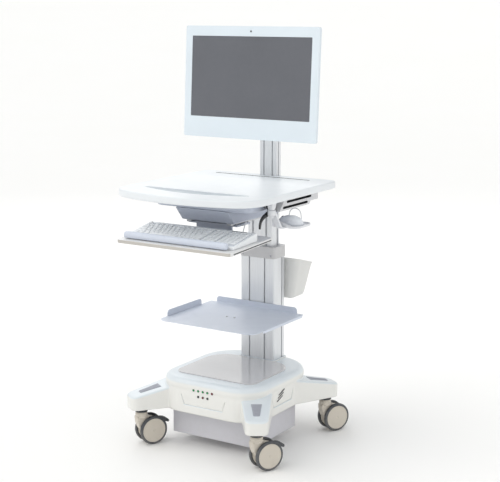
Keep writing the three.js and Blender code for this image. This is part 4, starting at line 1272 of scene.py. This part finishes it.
def build_keyboard():
    bm = fresh()
    front, depth = 37.0, 139.0
    profile = [(front, 0.4), (front + depth, 0.4), (front + depth, 25), (front + depth - 5, 28), (front, 9.5)]
    prism(bm, profile, -KEYBOARD_HALF, KEYBOARD_HALF, "x")
    make("keyboard_body", bm, "tray", finish("keys"), ("keyboard",), 2.2, 3, matrix=TRAY_MATRIX)
    slope = math.atan2(18.5, depth - 5)
    deck = TRAY_MATRIX @ Matrix.Translation((0, front, 9.5)) @ Matrix.Rotation(slope, 4, "X")
    left = -KEYBOARD_HALF + KEYBOARD_MARGIN
    well = fresh()
    prism(well, rounded(left - 2, 2 - left, 8, 121, 3, steps=3), -1, 0.5)
    make("keyboard_key_well", well, "tray", finish("keywell"), edge=0.2, segments=1,
         matrix=deck)
    unit = -2 * left / 22.6
    gap = sizes().key_gap * 1000
    rise = sizes().key_height * 1000
    caps = fresh()
    y = 120.0
    for row_height, *groups in KEY_ROWS:
        y_low = y - unit * row_height
        for x, widths in zip((left, left + 15.3 * unit, left + 18.6 * unit), groups):
            scale = 15.0 / sum(widths) if x == left else 1.0
            for width in widths:
                step = width * unit * scale
                if width not in KEY_SPACES:
                    keycap(caps, x + gap / 2, x + step - gap / 2, y_low + gap / 2, y - gap / 2, rise)
                x += step
        y = y_low - (2.0 if row_height < 1 else 0.0)
    make("keyboard_keys", caps, "tray", finish("keys"), matrix=deck)
    dot = fresh()
    turned(dot, [(0, 0), (3, 0), (3, 0.8), (0, 1.0)], upright(-196, 127.5, 0), 20)
    prism(dot, rounded(120, 176, 126, 130, 1.8, steps=3), -0.2, 0.7)
    make("keyboard_markers", dot, "tray", finish("lever"), matrix=deck)


def build_tray():
    bm = fresh()
    prism(bm, rounded(-222, 222, 0, 250, 14), -12, 0)
    board = raw_object("keyboard_tray_board", to_mesh(bm, "keyboard_tray_board", TRAY_MATRIX))
    settle(board, "tray", [finish("tray"), finish("traytop")], ("keyboard_tray",), 2.0, 3)
    for face in board.data.polygons:
        face.material_index = 1 if face.normal.z > 0.8 or abs(face.normal.x) > 0.75 else 0
    # Painted shadow: a thin dark strip on each side face stands for the shade in a groove along the tray's
    # edge.
    line = fresh()
    block(line, 221.2, 222.5, 16, 236, -8.6, -5.2)
    block(line, -222.5, -221.2, 16, 236, -8.6, -5.2)
    make("keyboard_tray_groove_shadow", line, "tray", finish("groove"), matrix=TRAY_MATRIX)
    front, depth = 17.0, 18.0
    section = [(front, 0.6), (front + depth, 0.6), (front + depth, 17)] \
        + bow((front + depth, 17), (front + depth, 24), (front + 10, 24), 8) \
        + bow((front + 10, 24), (front + 2, 24), (front, 14), 8)
    section = tidy(section)
    rings = []
    stations = [-205, -204, -202, -198, -183, *range(-150, 151, 30), 172, 186, 190, 192, 193]
    middle = Vector((front + depth / 2, 8))
    for x in stations:
        near = min(abs(x + 205), abs(x - 193))
        swell = 1 - 0.35 * (1 - min(near / 8, 1)) ** 2
        rings.append([(x, middle.x + (a - middle.x) * swell, max(0.6, middle.y + (b - middle.y) * swell))
                      for a, b in section])
    bm = fresh()
    loft(bm, rings)
    rest = make("wrist_rest_pad", bm, "tray", finish("rest"), ("wrist_rest",), matrix=TRAY_MATRIX)
    subdivide = rest.modifiers.new("soft", "SUBSURF")
    subdivide.levels = 1
    subdivide.render_levels = 1
    dress("tray_carriage", finish("cover"), 1.0)
    dress("slide_rails", finish("steel"), 0.6)


# ------------------------------------------------------------------ mouse and its holder
def build_mouse_holder():
    dish_floor = height("mouse_arm", 0)
    bracket_low = DESK_BOTTOM - 32
    pivot = (221.0, -120.0)
    bm = fresh()
    loft(bm, [[(x, y, bracket_low) for x, y in rounded(212, 230, -129, -111, 5)],
              [(x, y, DESK_BOTTOM - 0.4) for x, y in rounded(207, 235, -136, -106, 5)]])
    turned(bm, [(0, bracket_low - 26), (5, bracket_low - 26), (6, bracket_low - 25), (6, bracket_low + 1),
                (0, bracket_low + 1)], upright(*pivot), 28)
    make("mouse_holder_bracket", bm, "head", finish("arm"), ("mouse_bracket",), 1.2, 2)
    bm = fresh()
    boss = [(6.5, -18), (12, -18), (13, -17), (13, -1.4), (12, -0.6), (6.5, -0.6), (6.5, -18)]
    turned(bm, boss, upright(*pivot, bracket_low), 36)
    make("mouse_arm_boss", bm, "mouse_holder", finish("arm"))
    lower = through([(0, 12, 52), (0, 26, 30), (0, 44, 9), (0, 58, 0.5), (0, 90, 0.5)], 18)
    upper = through([(0, 90, 5), (0, 60, 5.5), (0, 48, 13), (0, 32, 35),
                     (0, 20, 56), (0, 14, 63), (0, 12, 63)], 18)
    outline = [(pivot[1] + p.y, dish_floor + p.z) for p in lower + upper]
    bm = fresh()
    prism(bm, outline, pivot[0] - 13, pivot[0] + 9, "x")
    make("mouse_arm_strap", bm, "mouse_holder", finish("arm"), edge=1.5, segments=3)
    bm = fresh()
    rings = [(6, 0, 0), (2, 0.8, 0), (0, 3.5, 0.1), (0, 5.5, 0.5), (0, 8.2, 1), (0.8, 9, 1),
             (2.2, 9, 1), (3, 8.2, 1), (3.3, 6, 0.5), (3.8, 5, 0.1), (6, 4.2, 0), (10, 4, 0)]
    outline = tidy(rounded(168, 276, -50, 54, 26, steps=16))

    def wall(x, y):
        """Extra height of the dish wall, highest at the corner below the arm."""
        return 27 * max(0.0, 1 - math.dist((x, y), (166, -52)) / 92) ** 1.3

    loft(bm, [[(x, y, dish_floor + z + share * wall(x, y)) for x, y in drawn_in(outline, inset)]
              for inset, z, share in rings])
    make("mouse_dish", bm, "mouse_holder", finish("arm"), ("mouse_arm",))
    bm = fresh()
    rings = []
    middle_x, middle_y = 220, 1
    base = dish_floor + 4.6
    levels = 12
    for k in range(levels):
        share = k / (levels - 1)
        angle = share * math.pi / 2
        ring = []
        for i in range(40):
            turn = 2 * math.pi * i / 40
            c, s = math.cos(turn), math.sin(turn)
            x = math.copysign(abs(c) ** 0.85, c) * 45.5 * math.cos(angle) ** 0.75
            waist = 1 - 0.07 * math.exp(-((x + 4) / 18) ** 2)
            y = math.copysign(abs(s) ** 0.85, s) * 27.5 * math.cos(angle) ** 0.75 * waist
            rise = (31.5 - 0.07 * abs(x - 8)) * math.sin(angle) ** 0.9
            ring.append((middle_x + x, middle_y + y, base + rise))
        rings.append(ring)
    loft(bm, rings)
    mouse = make("mouse_body", bm, "mouse_holder", finish("mouse"), ("mouse",))
    bm = fresh()
    turned(bm, [(0, -3), (5.5, -3), (6.2, -1.5), (6.2, 1.5), (5.5, 3), (0, 3)],
           facing((0, 1, 0), (191, 1, base + 20.5)), 24)
    make("mouse_wheel", bm, "mouse_holder", finish("tread"))
    bands = (("mouse_nose_line", (184.0, 186.8, -60, 60, base + 1.5, base + 50)),
             ("mouse_button_seam", (190.0, 212.0, -0.2, 2.6, base + 8, base + 50)))
    for name, box in bands:
        line = raw_object(name, mouse.data.copy())
        heart = at(middle_x, middle_y, base)
        line.data.transform(Matrix.Translation(heart) @ Matrix.Scale(1.012, 4) @ Matrix.Translation(-heart))
        slab = fresh()
        block(slab, *box)
        carve(line, slab, "INTERSECT")
        if not line.data.polygons:
            raise RuntimeError(name + " came out empty")
        settle(line, "mouse_holder", finish("dark"))


# ------------------------------------------------------------------ monitor
MONITOR_MATRIX = Matrix.Translation(TILT_AXIS) @ Matrix.Rotation(math.radians(-3.4), 4, "X")
MONITOR_FACE = -82.4
MONITOR_FOOT = -198.2
MONITOR_CROWN = MONITOR_FOOT + 378
SCREEN_CROWN = MONITOR_CROWN - 34.5
SCREEN_FOOT = SCREEN_CROWN - 273


def frame_outline():
    return rounded(-263.5, 263.5, MONITOR_FOOT, MONITOR_CROWN, 7.0, steps=8)


def build_monitor():
    bm = fresh()
    hole = rounded(-237, 237, SCREEN_FOOT - 0.5, SCREEN_CROWN + 0.5, 2, steps=3)
    tube(bm, frame_outline(), hole, 0, 6)
    stand = Matrix(((1, 0, 0, 0), (0, 0, 1, MONITOR_FACE), (0, 1, 0, 0), (0, 0, 0, 1)))
    make("monitor_front_frame", bm, "monitor", finish("casing"), ("monitor_bezel",), 1.4, 3,
         matrix=MONITOR_MATRIX @ stand)
    bm = fresh()
    prism(bm, rounded(-236.8, 236.8, SCREEN_FOOT - 0.3, SCREEN_CROWN + 0.3, 1.8, steps=3), 0.9, 4)
    make("monitor_display", bm, "monitor", finish("display"), ("screen_glass",), 0.3, 2,
         matrix=MONITOR_MATRIX @ stand)
    lens_z = MONITOR_CROWN - 17.25
    bm = fresh()
    turned(bm, [(0, -1), (3.3, -1), (3.3, 0.3), (2.9, 0.7), (2.2, 0.7), (1.6, 0.2), (0, 0.1)],
           facing((0, -1, 0), (0, MONITOR_FACE, lens_z)), 32)
    make("monitor_lens", bm, "monitor", finish("lens"), ("camera_lens",),
         matrix=MONITOR_MATRIX)
    shell_front = MONITOR_FACE + 6.4
    bulge = rounded(-190, 190, -139.2, 120.8, 40, steps=8)
    stages = [(frame_outline(), 0.0, 0), (frame_outline(), 7.0, 0), (frame_outline(), 9.8, 1.4),
              (frame_outline(), 11.6, 4.0), (frame_outline(), 12.2, 9.0)]
    rings = []
    for outline, y, inset in stages:
        rings.append([(x, shell_front + y, z) for x, z in drawn_in(outline, inset)])
    for y, inset in ((13, -12), (18, -3), (26, 0), (33, 3), (36.5, 7.5), (38, 15)):
        rings.append([(x, shell_front + y, z) for x, z in drawn_in(bulge, inset)])
    bm = fresh()
    loft(bm, [list(reversed(ring)) for ring in rings])
    make("monitor_rear_shell", bm, "monitor", finish("casing"), ("monitor_shell",),
         matrix=MONITOR_MATRIX)
    # Painted shadow: dark slabs set into the rear shell stand for the shaded insides of two rows of vent
    # slots.
    vent_shadows = fresh()
    for i in range(18):
        x = -153 + 18 * i
        for z in (92, 84):
            prism(vent_shadows, rounded(x - 6, x + 6, z, z + 3, 1.4, steps=3),
                  shell_front + 37.2, shell_front + 38.3, "y")
    make("monitor_rear_vent_shadows", vent_shadows, "monitor", finish("dark"), matrix=MONITOR_MATRIX)
    ports = fresh()
    prism(ports, rounded(80, 165, -118, -100, 3, steps=3), shell_front + 36.6, shell_front + 38.3, "y")
    make("monitor_port_cover", ports, "monitor", finish("collar"), edge=0.4,
         matrix=MONITOR_MATRIX)
    dress("tilt_bracket", finish("frame"), 1.0)
    dress("tilt_clamp", finish("collar"), 1.2)


# ------------------------------------------------------------------ casters
def fork_outline():
    points = [(-21, 101)]
    points += bow((-21, 101), (-21, 60), (4, 42), 12)
    points += bow((4, 42), (18, 32), (35, 34), 8)
    points += bow((35, 34), (58, 36), (58, 56), 8)
    points += bow((58, 56), (58, 84), (40, 92), 8)
    points += [(21, 101)]
    return points


def build_caster(corner, sx, sy):
    body = "caster_" + corner
    place = Matrix.Translation((sx * CASTER_X, sy * CASTER_Y, 0)) @ Matrix.Rotation(CASTER_TURN, 4, "Z")
    bm = fresh()
    prism(bm, fork_outline(), -14.5, 14.5, "x")
    make("caster_hood_" + corner, bm, body, finish("caster"), ("caster_fork_" + corner,),
         3.2, 4, matrix=place)
    neck = fresh()
    turned(neck, [(0, 96), (20.5, 96), (21, 97), (21, 104), (20.2, 105), (20.2, 106), (21, 107), (21, 112),
                  (20, 113.5), (20, 117.4), (0, 117.4)], Matrix.Identity(4), 40)
    make("caster_neck_" + corner, neck, body, finish("caster"), matrix=place)
    ring = fresh()
    turned(ring, [(0, 117.2), (20.5, 117.2), (21.5, 118.2), (21.5, 122.5),
                  (19, 124), (14, 124), (13, 131), (0, 131)], Matrix.Identity(4), 40)
    make("caster_race_" + corner, ring, body, finish("tread"), matrix=place)
    axle = fresh()
    turned(axle, [(0, -24), (5, -24), (5, 24), (0, 24)], facing((1, 0, 0), (0, 35, 50)), 20)
    make("caster_axle_" + corner, axle, body, finish("steel"), matrix=place)
    depth = sizes().tread_depth * 1000
    rim = 50 - depth
    for side, turn in (("outer", 1), ("inner", -1)):
        wheel_body = f"roller_{corner}_{side}"
        wheel_place = place @ facing((turn, 0, 0), (turn * 14.5, 35, 50))
        tyre = fresh()
        turned(tyre, [(rim - 0.5, 1.2), (46, 0.8), (48.6, 2.0), (49.7, 4.4), (50, 6.8), (49.7, 9.2),
                      (48.6, 11.4), (46, 12.4), (rim + 1, 12.8), (rim - 0.5, 12.2), (rim - 0.5, 1.2)],
               Matrix.Identity(4), 64)
        make(f"tread_{corner}_{side}", tyre, wheel_body, finish("tread"), (f"wheel_{corner}_{side}",),
             matrix=wheel_place)
        hub = fresh()
        turned(hub, [(5.4, 0.8), (rim - 0.6, 0.8), (rim - 0.4, 12.8), (rim - 1.2, 13.4), (rim - 2.4, 13.4),
                     (rim - 3.2, 12.9), (rim - 8, 12.9), (6, 12.9), (0, 12.9), (0, 10.6), (5.4, 10.6),
                     (5.4, 0.8)], Matrix.Identity(4), 64)
        make(f"hub_{corner}_{side}", hub, wheel_body, finish("caster"),
             matrix=wheel_place)
    if sy < 0:
        pedal = fresh()
        outline = [(61, 81)] + bow((61, 81), (62, 86), (67, 86), 5) + bow((67, 86), (82, 86), (92, 79), 8) \
            + bow((92, 79), (99, 75), (99, 71), 4) + bow((99, 71), (99, 65), (94, 66), 4) \
            + bow((94, 66), (80, 72), (62, 74), 8)
        prism(pedal, outline, -12, 12, "x")
        for k in range(4):
            block(pedal, -9, 9, 70 + 6 * k, 73 + 6 * k, 80 - k, 87 - 2.1 * k)
        make("brake_lever_" + corner, pedal, "pedal_" + corner, finish("tread"), ("brake_pedal_" + corner,),
             1.6, 3, matrix=place)


# ------------------------------------------------------------------ operators and panel
class CART_OT_camera(bpy.types.Operator):
    """Place the camera"""
    bl_idname = "cart.camera"
    bl_label = "Camera"

    def execute(self, context):
        build_camera()
        return {"FINISHED"}


class CART_OT_cords(bpy.types.Operator):
    """Lay the keyboard lead and the mouse lead"""
    bl_idname = "cart.cords"
    bl_label = "Cords"

    def execute(self, context):
        build_cord("keyboard_lead", KEYBOARD_LEAD, 3.6, "tray", "keyboard_cable")
        build_cord("mouse_lead", MOUSE_LEAD, 3.0, "mouse_holder", "mouse_cable")
        return {"FINISHED"}


class CART_OT_base(bpy.types.Operator):
    """Mould the base hood with its legs, and make the lid, lower box and leg grips"""
    bl_idname = "cart.base"
    bl_label = "Base"

    def execute(self, context):
        build_base()
        build_status_lights()
        return {"FINISHED"}


class CART_OT_columns(bpy.types.Operator):
    """Make the telescoping profiles, the collar and the mast"""
    bl_idname = "cart.columns"
    bl_label = "Columns"

    def execute(self, context):
        build_columns()
        return {"FINISHED"}


class CART_OT_shelf(bpy.types.Operator):
    """Make the sheet shelf with its lips, and the waste bin"""
    bl_idname = "cart.shelf"
    bl_label = "Shelf and Bin"

    def execute(self, context):
        build_shelf()
        build_bin()
        return {"FINISHED"}


class CART_OT_desktop(bpy.types.Operator):
    """Make the desktop, the covers below it and the side box"""
    bl_idname = "cart.desktop"
    bl_label = "Desktop"

    def execute(self, context):
        build_desktop()
        build_under_desk()
        return {"FINISHED"}


class CART_OT_lever(bpy.types.Operator):
    """Make the height lever and its pivot"""
    bl_idname = "cart.lever"
    bl_label = "Height Lever"

    def execute(self, context):
        build_lever()
        return {"FINISHED"}


class CART_OT_keyboard(bpy.types.Operator):
    """Make the keyboard tray, the wrist rest and the keyboard with its keys"""
    bl_idname = "cart.keyboard"
    bl_label = "Keyboard Tray"

    def execute(self, context):
        build_tray()
        build_keyboard()
        return {"FINISHED"}


class CART_OT_mouse(bpy.types.Operator):
    """Make the mouse and the swinging holder"""
    bl_idname = "cart.mouse"
    bl_label = "Mouse Holder"

    def execute(self, context):
        build_mouse_holder()
        return {"FINISHED"}


class CART_OT_monitor(bpy.types.Operator):
    """Make the monitor and finish its tilt hinge"""
    bl_idname = "cart.monitor"
    bl_label = "Monitor"

    def execute(self, context):
        build_monitor()
        return {"FINISHED"}


class CART_OT_casters(bpy.types.Operator):
    """Make the four twin-wheel casters and the two brake pedals"""
    bl_idname = "cart.casters"
    bl_label = "Casters"

    def execute(self, context):
        for corner, sx, sy in CORNERS:
            build_caster(corner, sx, sy)
        return {"FINISHED"}


class CART_OT_stage(bpy.types.Operator):
    """Make the studio floor, the air and the lights"""
    bl_idname = "cart.stage"
    bl_label = "Stage"

    def execute(self, context):
        build_stage()
        return {"FINISHED"}


OPERATORS = (CART_OT_camera, CART_OT_cords, CART_OT_base, CART_OT_columns, CART_OT_shelf, CART_OT_desktop,
             CART_OT_lever, CART_OT_keyboard, CART_OT_mouse, CART_OT_monitor, CART_OT_casters, CART_OT_stage)


class CART_PT_panel(bpy.types.Panel):
    """Sidebar panel with the sizes, colours and makers of the cart's pieces"""
    bl_idname = "CART_PT_panel"
    bl_label = "Ward Computer Cart"
    bl_space_type = "VIEW_3D"
    bl_region_type = "UI"
    bl_category = "Cart"

    def draw(self, context):
        layout = self.layout
        for settings in (context.scene.cart_sizes, context.scene.cart_colours):
            box = layout.box()
            for name in settings.__annotations__:
                box.prop(settings, name)
        for operator in OPERATORS:
            layout.operator(operator.bl_idname)


CLASSES = (CartSizes, CartColours, *OPERATORS, CART_PT_panel)


def register():
    for item in CLASSES:
        bpy.utils.register_class(item)
    bpy.types.Scene.cart_sizes = PointerProperty(type=CartSizes)
    bpy.types.Scene.cart_colours = PointerProperty(type=CartColours)


def unregister():
    del bpy.types.Scene.cart_colours
    del bpy.types.Scene.cart_sizes
    for item in reversed(CLASSES):
        bpy.utils.unregister_class(item)


def main():
    register()
    bpy.ops.cart.camera()
    bpy.ops.cart.cords()
    bpy.ops.cart.base()
    bpy.ops.cart.columns()
    bpy.ops.cart.shelf()
    bpy.ops.cart.desktop()
    bpy.ops.cart.lever()
    bpy.ops.cart.keyboard()
    bpy.ops.cart.mouse()
    bpy.ops.cart.monitor()
    bpy.ops.cart.casters()
    bpy.ops.cart.stage()


if __name__ == "__main__":
    main()
